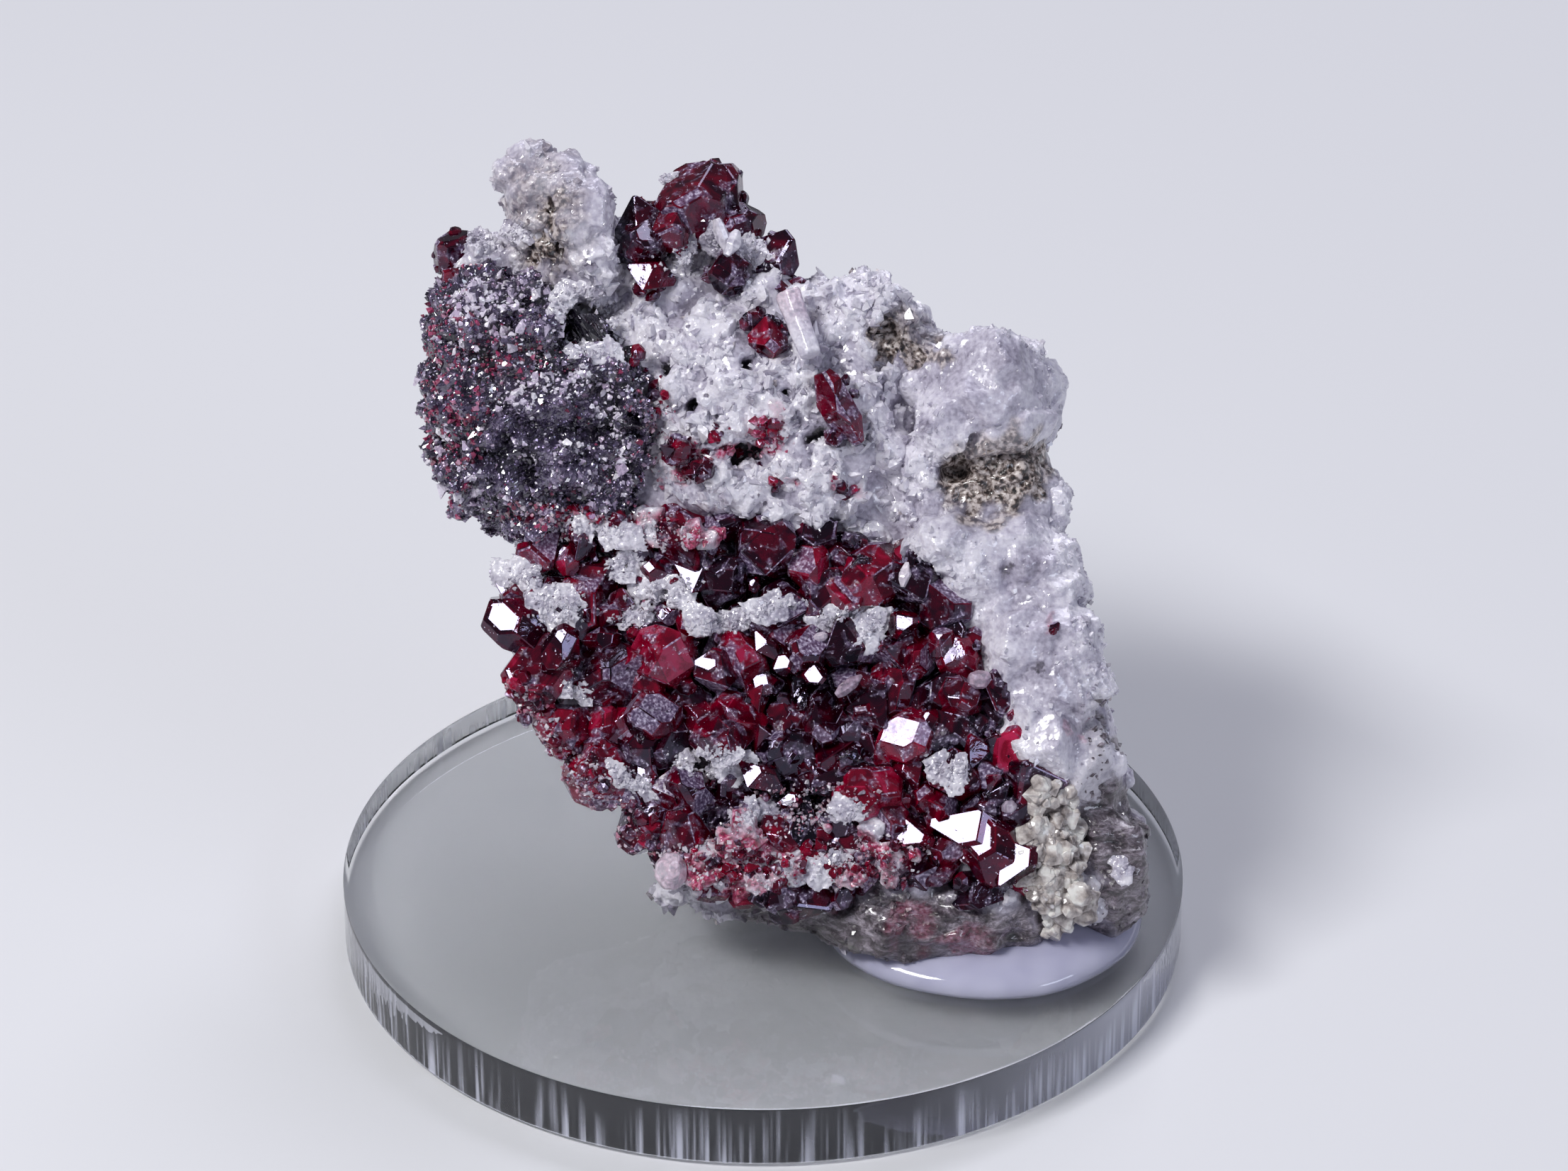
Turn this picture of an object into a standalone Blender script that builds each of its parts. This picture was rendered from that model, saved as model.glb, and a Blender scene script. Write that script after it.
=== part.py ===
"""A crystal specimen on a clear round base.

A leaning piece of white crystalline rock carries a bed of deep red crystals, a
dark granular crust and a few crystals that stand alone. A mound of white glue
holds its foot on a clear plastic disc. Run in Blender 4.5; units are metres.
"""

import itertools
import math
import random

import bmesh
import bpy
from mathutils import Matrix, Vector, noise

# Driving dimensions, in metres
DISC_DIAMETER = 0.040
DISC_THICKNESS = 0.003
DISC_SIDES = 72
LEAN = math.radians(32)  # how far the specimen's front face leans back
GAP = 0.0003  # kept between neighbouring solids
FOOT_CLEARANCE = 0.0009  # how far above the disc the rock's foot is flat
GLUE_CENTRE = (0.0104, -0.0042)
GLUE_RADII = (0.0076, 0.0072, 0.0021)  # across, deep, high

# The face frame: x runs right and y up along the leaning front face, z points out
# of it. Its origin is the middle of the disc's top. Shapes are worked out in it in
# millimetres, then FACE takes them to their real place.
MM = 0.001
FACE = (
    Matrix.Translation((0, 0, DISC_THICKNESS))
    @ Matrix.Rotation(math.pi / 2 - LEAN, 4, "X")
    @ Matrix.Scale(MM, 4)
)

# Blocks that make up the rock: centre, half sizes, turn in degrees about x, y and z
ROCK_BLOCKS = {
    "tower": ((-9.2, 29.6, 7.8), (2.0, 3.8, 2.4), (0, 0, 10)),
    "tower_knob": ((-10.9, 32.1, 7.8), (0.9, 1.7, 1.3), (0, 0, 4)),
    "tower_back": ((-8.8, 27.2, 4.5), (3.2, 3.8, 3.4), (0, 10, 0)),
    "left_saddle": ((-12.9, 27.6, 6.2), (2.0, 1.7, 2.2), (0, 0, -8)),
    "crown": ((-4.2, 27.0, 4.4), (4.6, 4.0, 3.8), (0, 0, -14)),
    "crown_right": ((0.4, 25.4, 6.0), (2.7, 2.3, 3.2), (0, 0, -28)),
    "heart": ((-1.0, 20.2, 3.8), (9.4, 6.8, 6.0), (0, 0, -12)),
    "heart_front": ((0.0, 20.4, 7.6), (6.2, 5.0, 3.0), (0, 0, -10)),
    "shoulder": ((4.6, 24.3, 5.4), (3.1, 3.2, 4.4), (0, 0, -22)),
    "boulder": ((10.0, 21.9, 6.0), (3.1, 2.9, 4.2), (0, 12, -8)),
    "boulder_knob": ((12.3, 21.3, 6.2), (1.2, 1.9, 2.2), (0, 0, 8)),
    "flank_upper": ((9.5, 16.4, 5.0), (4.4, 4.6, 5.2), (0, 12, 0)),
    "flank_middle": ((12.0, 11.0, 4.8), (2.7, 4.8, 5.0), (0, 16, 12)),
    "flank_lower": ((13.5, 5.4, 5.0), (2.4, 4.6, 4.6), (0, 20, 12)),
    "foot_tip": ((15.8, 0.0, 5.4), (2.1, 3.3, 3.8), (0, 10, 12)),
    "lower_body": ((2.4, 8.2, 2.8), (10.4, 6.2, 4.4), (0, 0, -32)),
    "lower_bed": ((0.8, 4.2, 4.8), (6.6, 4.4, 2.4), (0, 0, -26)),
    "under_ledge": ((0.2, -0.8, 6.4), (5.0, 1.8, 2.6), (0, 0, -8)),
    "foot": ((8.0, -0.8, 6.0), (5.6, 4.5, 3.6), (-20, 0, 4)),
    "left_body": ((-8.2, 20.2, 3.0), (4.4, 6.0, 4.6), (0, -10, 0)),
    "lower_left": ((-7.4, 9.6, 4.2), (4.2, 3.4, 3.4), (0, -8, -20)),
}
ROCK_HOLLOWS = {
    "under_tower": ((-8.0, 25.0, 10.6), (1.5, 1.0, 2.2), (0, 0, 0)),
    "middle_cave": ((-0.4, 18.8, 11.2), (1.2, 0.9, 2.0), (0, 0, 0)),
    "shoulder_cave": ((5.6, 23.6, 9.8), (0.9, 0.8, 2.0), (0, 0, 0)),
    "brown_recess": ((10.9, 18.6, 11.4), (2.6, 1.3, 1.6), (0, 0, 0)),
    "tower_gap": ((-6.3, 31.6, 7.0), (0.8, 2.4, 2.6), (0, 0, 0)),
    "flank_groove": ((13.2, 14.0, 9.8), (0.7, 5.0, 1.2), (0, 0, 12)),
}
KNOB_COUNT = 170
KNOB_SIZES = (0.6, 1.5)
KNOB_DEPTH = 0.86  # how far out from a block's middle its knobs sit
ROCK_TRIANGLES = 2600

# The dark crust that swells out of the rock's upper left
DARK_BLOCKS = {
    "dome": ((-11.2, 22.2, 7.0), (4.6, 5.8, 5.2), (0, -14, 4)),
    "dome_top": ((-12.4, 26.0, 6.4), (2.7, 2.3, 3.6), (0, 0, 0)),
    "dome_foot": ((-9.0, 17.6, 7.0), (4.0, 2.6, 4.0), (0, 0, -8)),
    "dome_right": ((-6.8, 20.6, 8.2), (2.2, 3.6, 3.4), (0, 0, 0)),
}
DARK_TRIANGLES = 800

# The bed that the front crystals grow on: its outline, and where its faces lie
BED_OUTLINE = [
    (-11.2, 14.0), (-8.0, 16.2), (-3.0, 16.6), (3.8, 15.2), (8.6, 14.0), (11.0, 9.0),
    (12.6, 5.0), (12.8, -0.4), (9.4, -0.8), (4.6, -1.0), (0.8, -1.6), (-3.6, -0.2),
    (-7.2, 4.2), (-11.3, 8.2), (-11.9, 11.4),
]
BED_BACK, BED_FRONT = 5.4, 8.6
BED_TRIANGLES = 200

CRYSTAL_SPACING = 2.1
CRYSTAL_SIZES = (0.95, 1.55)
# Crystals larger than their neighbours: place, size, turn
LARGE_CRYSTALS = [
    ((-11.3, 11.4, 9.4), 1.7, (20, 35, 10)),
    ((-9.7, 9.5, 9.8), 2.1, (-15, 20, 40)),
    ((-4.7, 10.0, 9.4), 2.2, (30, -20, 15)),
    ((-5.0, 6.9, 9.6), 1.8, (10, 30, 60)),
    ((-2.6, 14.8, 9.2), 2.0, (45, 10, 20)),
    ((2.0, 15.0, 9.0), 1.9, (20, -30, 5)),
    ((4.6, 13.6, 9.2), 2.2, (-20, 25, 35)),
    ((11.2, 5.2, 9.0), 2.1, (35, 15, 50)),
    ((9.9, 1.2, 9.2), 2.2, (10, -10, 0)),
    ((6.8, 1.5, 9.2), 1.8, (60, 20, -30)),
    ((-1.4, 1.6, 9.0), 2.1, (15, 45, 25)),
    ((4.4, 5.0, 9.2), 2.1, (-25, 10, 70)),
]

# The red crystals beside the tower
TOP_CRYSTALS = [
    ((-3.4, 30.9, 7.8), 2.5, (25, 10, 15)),
    ((-5.6, 29.4, 8.0), 2.1, (50, -10, 30)),
    ((-5.2, 27.4, 9.0), 1.8, (15, 30, -10)),
    ((-1.3, 29.6, 7.6), 1.9, (-20, 40, 0)),
    ((-1.6, 27.6, 8.8), 1.7, (35, 5, 60)),
    ((0.5, 27.9, 7.4), 1.5, (10, -35, 20)),
]

# Crystals that stand alone in the rock: place, size, turn, stretch
LONE_CRYSTALS = {
    "red_crystal_middle": ((3.6, 21.2, 11.0), 1.5, (10, 0, 32), (0.75, 1.5, 0.8)),
    "red_crystal_upper": ((0.4, 24.6, 10.2), 1.2, (40, 10, 10), (0.8, 1.2, 1)),
    "red_crystal_lower": ((-3.4, 19.2, 11.2), 1.25, (20, 30, 0), (1.1, 0.9, 1)),
    "red_crystal_corner": ((-14.2, 28.0, 7.4), 1.4, (0, 20, 12), (0.8, 1.6, 1)),
}

# Sugary calcite that grows on the rock's lower right: lumps as place and size
CALCITE_LUMPS = [
    ((13.3, 3.6, 9.2), 1.4), ((12.9, 1.6, 9.4), 1.3), ((13.2, -0.4, 9.0), 1.4),
    ((12.0, 0.4, 9.2), 1.1), ((14.4, -1.4, 8.6), 1.2), ((12.3, 6.4, 9.6), 1.0),
    ((14.0, 1.0, 8.8), 1.2), ((13.2, -2.2, 8.2), 1.0),
]


def clear_scene():
    for obj in list(bpy.data.objects):
        bpy.data.objects.remove(obj, do_unlink=True)


def material(name, colour, roughness, metallic=0.0, transmission=0.0, ior=1.5):
    made = bpy.data.materials.new(name)
    made.use_nodes = True
    shader = made.node_tree.nodes["Principled BSDF"]
    shader.inputs["Base Color"].default_value = (*colour, 1.0)
    shader.inputs["Roughness"].default_value = roughness
    shader.inputs["Metallic"].default_value = metallic
    shader.inputs["Transmission Weight"].default_value = transmission
    shader.inputs["IOR"].default_value = ior
    made.diffuse_color = (*colour, 1.0)
    return made


# Mesh helpers


def turned(degrees):
    """The rotation for a turn given in degrees about x, y and z."""
    x, y, z = (math.radians(angle) for angle in degrees)
    return (
        Matrix.Rotation(z, 4, "Z")
        @ Matrix.Rotation(y, 4, "Y")
        @ Matrix.Rotation(x, 4, "X")
    )


def add_block(bm, centre, half, turn=(0, 0, 0), squareness=0.35, subdivisions=3):
    """Adds a rounded block: a ball whose points are pushed towards a box."""
    ball = bmesh.ops.create_icosphere(bm, subdivisions=subdivisions, radius=1.0)
    place = Matrix.Translation(centre) @ turned(turn)
    for vert in ball["verts"]:
        boxed = [math.copysign(abs(c) ** (1 - squareness), c) * h for c, h in zip(vert.co, half)]
        vert.co = place @ Vector(boxed)


def blocks_mesh(blocks, squareness=0.35):
    bm = bmesh.new()
    for centre, half, turn in blocks:
        add_block(bm, centre, half, turn, squareness)
    return mesh_from(bm, "blocks")


def mesh_from(bm, name):
    mesh = bpy.data.meshes.new(name)
    bm.to_mesh(mesh)
    bm.free()
    return mesh


def modified(mesh, *modifiers):
    """The mesh with modifiers applied. Each one is its type and its settings."""
    holder = bpy.data.objects.new("holder", mesh)
    bpy.context.scene.collection.objects.link(holder)
    for kind, settings in modifiers:
        modifier = holder.modifiers.new(kind, kind)
        for key, value in settings.items():
            setattr(modifier, key, value)
    graph = bpy.context.evaluated_depsgraph_get()
    made = bpy.data.meshes.new_from_object(holder.evaluated_get(graph))
    bpy.data.objects.remove(holder, do_unlink=True)
    return made


def combined(operation, mesh, others, solver="EXACT"):
    """One mesh from a mesh and the others, which are joined to it or cut from it."""
    group = bpy.data.collections.new("others")
    bpy.context.scene.collection.children.link(group)
    for other in others:
        group.objects.link(bpy.data.objects.new("other", other))
    settings = {
        "operation": operation,
        "solver": solver,
        "operand_type": "COLLECTION",
        "collection": group,
    }
    made = modified(mesh, ("BOOLEAN", settings))
    for obj in list(group.objects):
        bpy.data.objects.remove(obj, do_unlink=True)
    bpy.data.collections.remove(group)
    return made


def voxelled(mesh, size):
    return modified(mesh, ("REMESH", {"mode": "VOXEL", "voxel_size": size}))


def thinned(mesh, triangles):
    """The mesh brought down to about this many triangles."""
    mesh.calc_loop_triangles()
    share = min(1.0, triangles / len(mesh.loop_triangles))
    return modified(mesh, ("DECIMATE", {"ratio": share, "use_collapse_triangulate": True}))


def moved_along_normals(mesh, distance_at):
    """Moves each point along its normal by what distance_at(point) gives."""
    made = mesh.copy()
    normals = [vert.normal.copy() for vert in made.vertices]
    for vert, normal in zip(made.vertices, normals):
        vert.co = vert.co + normal * distance_at(vert.co)
    made.update()
    return made


def rugged(mesh, height, size, seed):
    """Breaks the surface up with cell-shaped lumps about size across."""
    offset = Vector((seed * 13.7, seed * 5.1, seed * 9.3))

    def distance_at(point):
        distances, _ = noise.voronoi(point / size + offset)
        return height * (1 - 2 * distances[0])

    return moved_along_normals(mesh, distance_at)


def largest_body(mesh):
    """The mesh with its loose crumbs removed."""
    bm = bmesh.new()
    bm.from_mesh(mesh)
    waiting = set(bm.verts)
    bodies = []
    while waiting:
        body, reached = set(), [waiting.pop()]
        while reached:
            vert = reached.pop()
            body.add(vert)
            for edge in vert.link_edges:
                other = edge.other_vert(vert)
                if other in waiting:
                    waiting.remove(other)
                    reached.append(other)
        bodies.append(body)
    bodies.sort(key=len, reverse=True)
    crumbs = [vert for body in bodies[1:] for vert in body]
    bmesh.ops.delete(bm, geom=crumbs, context="VERTS")
    return mesh_from(bm, mesh.name)


def clear_of(mesh, *neighbours):
    """The mesh cut back so that it keeps the gap to its neighbours."""
    gap = GAP / MM
    for other in neighbours:
        grown = moved_along_normals(other, lambda _: gap)
        # a grown shape may cross itself, which the EXACT solver can't cut with
        mesh = combined("DIFFERENCE", mesh, [grown], solver="MANIFOLD")
    return largest_body(mesh)


def place(name, mesh, surface):
    """Makes the node: the mesh goes from the face frame to its real place."""
    mesh.transform(FACE)
    mesh.materials.clear()
    mesh.materials.append(surface)
    mesh.shade_flat()
    obj = bpy.data.objects.new(name, mesh)
    bpy.context.scene.collection.objects.link(obj)
    return obj


# Crystals


def crystal_form(cube, octahedron, rng):
    """A cubic crystal about 1 across each way from its middle, cut plane by plane.

    cube and octahedron are how far its two kinds of face lie from the middle; each
    face strays a little from that, as grown faces do.
    """
    faces = []
    for axis, sign in itertools.product(((1, 0, 0), (0, 1, 0), (0, 0, 1)), (1, -1)):
        faces.append((Vector(axis) * sign, cube))
    for corner in itertools.product((1, -1), repeat=3):
        faces.append((Vector(corner).normalized(), octahedron))
    bm = bmesh.new()
    bmesh.ops.create_cube(bm, size=4.0)
    for normal, distance in faces:
        strayed = distance * rng.uniform(0.86, 1.12)
        cut = bmesh.ops.bisect_plane(
            bm,
            geom=bm.verts[:] + bm.edges[:] + bm.faces[:],
            plane_co=normal * strayed,
            plane_no=normal,
            clear_outer=True,
        )
        rim = [edge for edge in cut["geom_cut"] if isinstance(edge, bmesh.types.BMEdge)]
        if rim:
            bmesh.ops.edgeloop_fill(bm, edges=rim)
    bmesh.ops.recalc_face_normals(bm, faces=bm.faces)
    return mesh_from(bm, "crystal")


def crystal_forms():
    rng = random.Random(11)
    balances = ((1.0, 0.72), (0.86, 0.8), (0.95, 0.66), (0.8, 0.95), (0.9, 0.76), (1.1, 0.7))
    return [crystal_form(cube, octahedron, rng) for cube, octahedron in balances]


def crystal_at(form, centre, size, turn, stretch=(1, 1, 1)):
    mesh = form.copy()
    shape = Matrix.Diagonal((*(size * s for s in stretch), 1))
    mesh.transform(Matrix.Translation(centre) @ turned(turn) @ shape)
    return mesh


def inside(point, outline):
    """Whether a point of the face lies inside an outline."""
    crossings = 0
    for (x0, y0), (x1, y1) in zip(outline, outline[1:] + outline[:1]):
        if (y0 > point[1]) != (y1 > point[1]):
            crossings += point[0] < x0 + (point[1] - y0) * (x1 - x0) / (y1 - y0)
    return crossings % 2 == 1


def crystal_sites(outline, spacing, rng):
    """Places about a spacing apart inside the outline, in rows, each nudged a little."""
    xs = [x for x, _ in outline]
    ys = [y for _, y in outline]
    row_height = spacing * math.sin(math.radians(60))
    nudge = 0.3 * spacing
    for row in range(int((max(ys) - min(ys)) / row_height) + 1):
        for column in range(int((max(xs) - min(xs)) / spacing) + 2):
            x = min(xs) + spacing * (column + 0.5 * (row % 2)) + rng.uniform(-nudge, nudge)
            y = min(ys) + row_height * row + rng.uniform(-nudge, nudge)
            if inside((x, y), outline):
                yield x, y


def bed_mesh():
    bm = bmesh.new()
    face = bm.faces.new([bm.verts.new((x, y, BED_BACK)) for x, y in BED_OUTLINE])
    risen = bmesh.ops.extrude_face_region(bm, geom=[face])["geom"]
    raised = [item for item in risen if isinstance(item, bmesh.types.BMVert)]
    bmesh.ops.translate(bm, verts=raised, vec=(0, 0, BED_FRONT - BED_BACK))
    bmesh.ops.recalc_face_normals(bm, faces=bm.faces)
    bed = rugged(voxelled(mesh_from(bm, "bed"), 0.5), 0.5, 2.2, seed=4)
    return thinned(bed, BED_TRIANGLES)


# The pieces


def knobs(blocks):
    """Small lumps scattered over the blocks' sides."""
    rng = random.Random(2)
    for _ in range(KNOB_COUNT):
        centre, half, turn = rng.choice(blocks)
        outward = Vector([rng.gauss(0, 1) for _ in range(3)]).normalized()
        spot = Vector([KNOB_DEPTH * o * h for o, h in zip(outward, half)])
        size = rng.uniform(*KNOB_SIZES)
        lump = [size * rng.uniform(0.6, 1.0) for _ in range(3)]
        angles = [rng.uniform(0, 90) for _ in range(3)]
        yield Matrix.Translation(centre) @ turned(turn) @ spot, lump, angles


def below_foot():
    """All the space below the height where the rock's foot is cut flat."""
    bm = bmesh.new()
    bmesh.ops.create_cube(bm, size=2 * DISC_DIAMETER)
    top = DISC_THICKNESS + FOOT_CLEARANCE
    bmesh.ops.translate(bm, verts=bm.verts, vec=(0, 0, top - DISC_DIAMETER))
    bm.transform(FACE.inverted())
    return mesh_from(bm, "below_foot")


def rock_mesh():
    blocks = list(ROCK_BLOCKS.values())
    body = voxelled(blocks_mesh(blocks + list(knobs(blocks))), 0.45)
    hollows = voxelled(blocks_mesh(ROCK_HOLLOWS.values(), squareness=0.1), 0.3)
    body = combined("DIFFERENCE", body, [hollows])
    body = rugged(voxelled(body, 0.45), 0.45, 2.6, seed=1)
    body = combined("DIFFERENCE", body, [below_foot()])
    return largest_body(thinned(body, ROCK_TRIANGLES))


def dark_mesh():
    crust = voxelled(blocks_mesh(DARK_BLOCKS.values()), 0.45)
    return thinned(rugged(crust, 0.35, 1.9, seed=3), DARK_TRIANGLES)


def front_crystals_mesh(forms):
    rng = random.Random(5)
    crystals = [crystal_at(rng.choice(forms), *crystal) for crystal in LARGE_CRYSTALS]
    for x, y in crystal_sites(BED_OUTLINE, CRYSTAL_SPACING, rng):
        if any(math.dist((x, y), centre[:2]) < 0.8 * size for centre, size, _ in LARGE_CRYSTALS):
            continue
        size = rng.uniform(*CRYSTAL_SIZES)
        turn = [rng.uniform(0, 360) for _ in range(3)]
        stretch = [rng.uniform(0.85, 1.2) for _ in range(3)]
        crystals.append(crystal_at(rng.choice(forms), (x, y, BED_FRONT), size, turn, stretch))
    return combined("UNION", bed_mesh(), crystals)


def top_crystals_mesh(forms):
    rng = random.Random(6)
    crystals = [crystal_at(rng.choice(forms), *crystal) for crystal in TOP_CRYSTALS]
    return combined("UNION", crystals[0], crystals[1:])


def calcite_mesh(forms):
    rng = random.Random(8)
    lumps = []
    for centre, size in CALCITE_LUMPS:
        turn = [rng.uniform(0, 360) for _ in range(3)]
        lumps.append(crystal_at(rng.choice(forms), centre, size, turn))
    return combined("UNION", lumps[0], lumps[1:])


def calcite_rod_mesh():
    """A six-sided rod with a blunt tip, lying on the rock's upper right."""
    bm = bmesh.new()
    bmesh.ops.create_cone(bm, cap_ends=True, segments=6, radius1=0.62, radius2=0.5, depth=3.2)
    bm.transform(Matrix.Translation((1.7, 25.2, 10.9)) @ turned((74, 0, 20)))
    return mesh_from(bm, "rod")


def glue_mesh():
    """A flattened dome on the disc, a gap above it, before the foot is cut out."""
    bm = bmesh.new()
    bmesh.ops.create_uvsphere(bm, u_segments=36, v_segments=16, radius=1.0)
    bmesh.ops.scale(bm, verts=bm.verts, vec=GLUE_RADII)
    bmesh.ops.translate(bm, verts=bm.verts, vec=(*GLUE_CENTRE, DISC_THICKNESS))
    floor = DISC_THICKNESS + GAP
    cut = bmesh.ops.bisect_plane(
        bm,
        geom=bm.verts[:] + bm.edges[:] + bm.faces[:],
        plane_co=(0, 0, floor),
        plane_no=(0, 0, -1),
        clear_outer=True,
    )
    rim = [edge for edge in cut["geom_cut"] if isinstance(edge, bmesh.types.BMEdge)]
    bmesh.ops.edgeloop_fill(bm, edges=rim)
    bmesh.ops.recalc_face_normals(bm, faces=bm.faces)
    bm.transform(FACE.inverted())
    return mesh_from(bm, "glue")


def build_disc(surface):
    bm = bmesh.new()
    bmesh.ops.create_cone(
        bm,
        cap_ends=True,
        segments=DISC_SIDES,
        radius1=DISC_DIAMETER / 2,
        radius2=DISC_DIAMETER / 2,
        depth=DISC_THICKNESS,
    )
    bmesh.ops.translate(bm, verts=bm.verts, vec=(0, 0, DISC_THICKNESS / 2))
    mesh = mesh_from(bm, "base_disc")
    mesh.materials.append(surface)
    mesh.shade_smooth()
    mesh.set_sharp_from_angle(angle=math.radians(30))
    bpy.context.scene.collection.objects.link(bpy.data.objects.new("base_disc", mesh))


def main():
    clear_scene()
    white_rock = material("white_calcite_rock", (0.78, 0.78, 0.82), 0.6)
    dark_crust = material("dark_granular_crust", (0.12, 0.11, 0.13), 0.35, 0.5)
    red_crystal = material("red_crystal", (0.3, 0.01, 0.02), 0.15, 0.0, 0.4, 2.0)
    cream_calcite = material("cream_calcite", (0.75, 0.72, 0.58), 0.4, 0.0, 0.2)
    white_glue = material("white_hot_glue", (0.8, 0.8, 0.86), 0.12)
    clear_plastic = material("clear_acrylic", (0.92, 0.94, 0.96), 0.05, 0.0, 0.9, 1.49)

    forms = crystal_forms()
    rock = rock_mesh()
    dark = clear_of(dark_mesh(), rock)
    front = clear_of(front_crystals_mesh(forms), rock, dark)
    top = clear_of(top_crystals_mesh(forms), rock)
    calcite = clear_of(calcite_mesh(forms), rock, front)
    rod = clear_of(calcite_rod_mesh(), rock, top)
    glue = clear_of(glue_mesh(), rock)
    lone = {}
    for number, (name, crystal) in enumerate(LONE_CRYSTALS.items()):
        raw = crystal_at(forms[number], *crystal)
        lone[name] = clear_of(raw, rock, top, rod, dark)

    build_disc(clear_plastic)
    place("matrix_rock", rock, white_rock)
    place("dark_crust", dark, dark_crust)
    place("front_crystals", front, red_crystal)
    place("top_crystals", top, red_crystal)
    place("cream_calcite", calcite, cream_calcite)
    place("calcite_rod", rod, white_rock)
    place("glue_mound", glue, white_glue)
    for name, mesh in lone.items():
        place(name, mesh, red_crystal)


main()
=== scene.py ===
import math
import time
from functools import partial

import bmesh
import bpy
import numpy as np
from mathutils import Matrix, Quaternion, Vector, noise
from mathutils.bvhtree import BVHTree


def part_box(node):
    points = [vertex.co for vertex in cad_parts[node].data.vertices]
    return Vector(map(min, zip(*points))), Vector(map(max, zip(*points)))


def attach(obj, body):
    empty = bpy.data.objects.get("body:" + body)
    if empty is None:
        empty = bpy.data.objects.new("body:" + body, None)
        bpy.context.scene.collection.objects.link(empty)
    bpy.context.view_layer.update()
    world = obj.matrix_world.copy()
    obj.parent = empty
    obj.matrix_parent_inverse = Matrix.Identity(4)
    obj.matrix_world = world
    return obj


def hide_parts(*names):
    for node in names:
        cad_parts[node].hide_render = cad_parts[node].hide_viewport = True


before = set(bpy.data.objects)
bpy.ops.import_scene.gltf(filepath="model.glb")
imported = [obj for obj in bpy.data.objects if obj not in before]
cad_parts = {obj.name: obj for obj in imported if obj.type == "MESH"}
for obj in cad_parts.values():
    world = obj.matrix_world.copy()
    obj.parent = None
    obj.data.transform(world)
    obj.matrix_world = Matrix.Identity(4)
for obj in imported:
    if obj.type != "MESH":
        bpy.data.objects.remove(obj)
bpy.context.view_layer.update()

startTime = time.time()

# Shapes are worked out in the specimen's own face frame, in millimetres: x runs
# right and y up along the leaning front, z comes out of it, from the disc's top.
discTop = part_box("base_disc")[1].z
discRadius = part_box("base_disc")[1].x
leanDegrees = 32
mm = 0.001
touching = 1e-6  # metres: closer than this counts as the same place
faceFrame = (
    Matrix.Translation((0, 0, discTop))
    @ Matrix.Rotation(math.radians(90 - leanDegrees), 4, "X")
    @ Matrix.Scale(mm, 4)
)
frameArray = np.array(faceFrame)
frameInverse = np.array(faceFrame.inverted())


# Tools


def report(stage):
    print(f"{stage}: {time.time() - startTime:.1f} s")


def linear(colour):  # sRGB hex to the linear values that Blender reads
    parts = [int(colour[i:i + 2], 16) / 255 for i in (1, 3, 5)]
    return (*[c / 12.92 if c <= 0.04045 else ((c + 0.055) / 1.055) ** 2.4 for c in parts], 1)


def addNode(tree, kind, values={}):
    # a value that is a node or a socket is linked, hex is a colour, and any other is set
    node = tree.nodes.new("ShaderNode" + kind)
    for key, value in values.items():
        if isinstance(value, str) and value.startswith("#"):
            value = linear(value)
        if key == "stops":  # a colour ramp's places and colours
            ramp = node.color_ramp.elements
            while len(ramp) < len(value):
                ramp.new(0.5)
            for stop, (place, colour) in zip(ramp, value):
                stop.position = place
                stop.color = linear(colour)
        elif key == "grain":  # how wide a pattern's features are, in mm
            node.inputs["Scale"].default_value = 1 / (value * mm)
        elif isinstance(value, bpy.types.Node):
            tree.links.new(value.outputs[0], node.inputs[key])
        elif isinstance(value, bpy.types.NodeSocket):
            tree.links.new(value, node.inputs[key])
        elif isinstance(key, int) or key in node.inputs:
            node.inputs[key].default_value = value
        else:
            setattr(node, key, value)
    return node


def newMaterial(name, look, *marks):
    # a look adds nodes, which may read the place and the marks, and gives the output's links
    made = bpy.data.materials.new(name)
    made.use_nodes = True
    made.node_tree.nodes.clear()
    add = partial(addNode, made.node_tree)
    reads = {mark: add("Attribute", {"attribute_name": mark}).outputs["Fac"] for mark in marks}
    reads["place"] = add("TexCoord").outputs["Object"]
    add("OutputMaterial", look(add, reads))
    return made


def newObject(name, data):
    made = bpy.data.objects.new(name, data)
    bpy.context.scene.collection.objects.link(made)
    return made


def only(piece):
    bpy.ops.object.select_all(action="DESELECT")
    piece.select_set(True)
    bpy.context.view_layer.objects.active = piece


def applyModifiers(piece):
    only(piece)
    for modifier in list(piece.modifiers):
        bpy.ops.object.modifier_apply(modifier=modifier.name)


def finishPiece(piece, material, *nodes):
    piece.data.materials.clear()
    piece.data.materials.append(material)
    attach(piece, "root")
    if nodes:
        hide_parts(*nodes)
    triangles = sum(len(face.vertices) - 2 for face in piece.data.polygons)
    report(f"{piece.name}, {triangles} triangles")
    return piece


def read(items, name, width=1, kind=float):  # a mesh's numbers as an array
    values = np.zeros(len(items) * width, kind)
    items.foreach_get(name, values)
    return values.reshape(-1, width) if width > 1 else values


def facePoints(mesh):  # a mesh's points in the face frame
    return read(mesh.vertices, "co", 3) @ frameInverse[:3, :3].T + frameInverse[:3, 3]


def worldPoints(points):
    return points @ frameArray[:3, :3].T + frameArray[:3, 3]


def setWorldPoints(mesh, points):
    mesh.vertices.foreach_set("co", points.ravel())
    mesh.update()


def setFacePoints(mesh, points):
    setWorldPoints(mesh, worldPoints(points))


def pointsAndNormals(mesh):  # both in the face frame
    normals = read(mesh.vertex_normals, "vector", 3) @ (frameInverse[:3, :3].T * mm)
    return facePoints(mesh), normals


def setMark(mesh, name, values, domain="POINT"):  # a number that the materials read
    layer = mesh.attributes.new(name, "FLOAT", domain)
    layer.data.foreach_set("value", np.asarray(values, np.float32))


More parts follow.
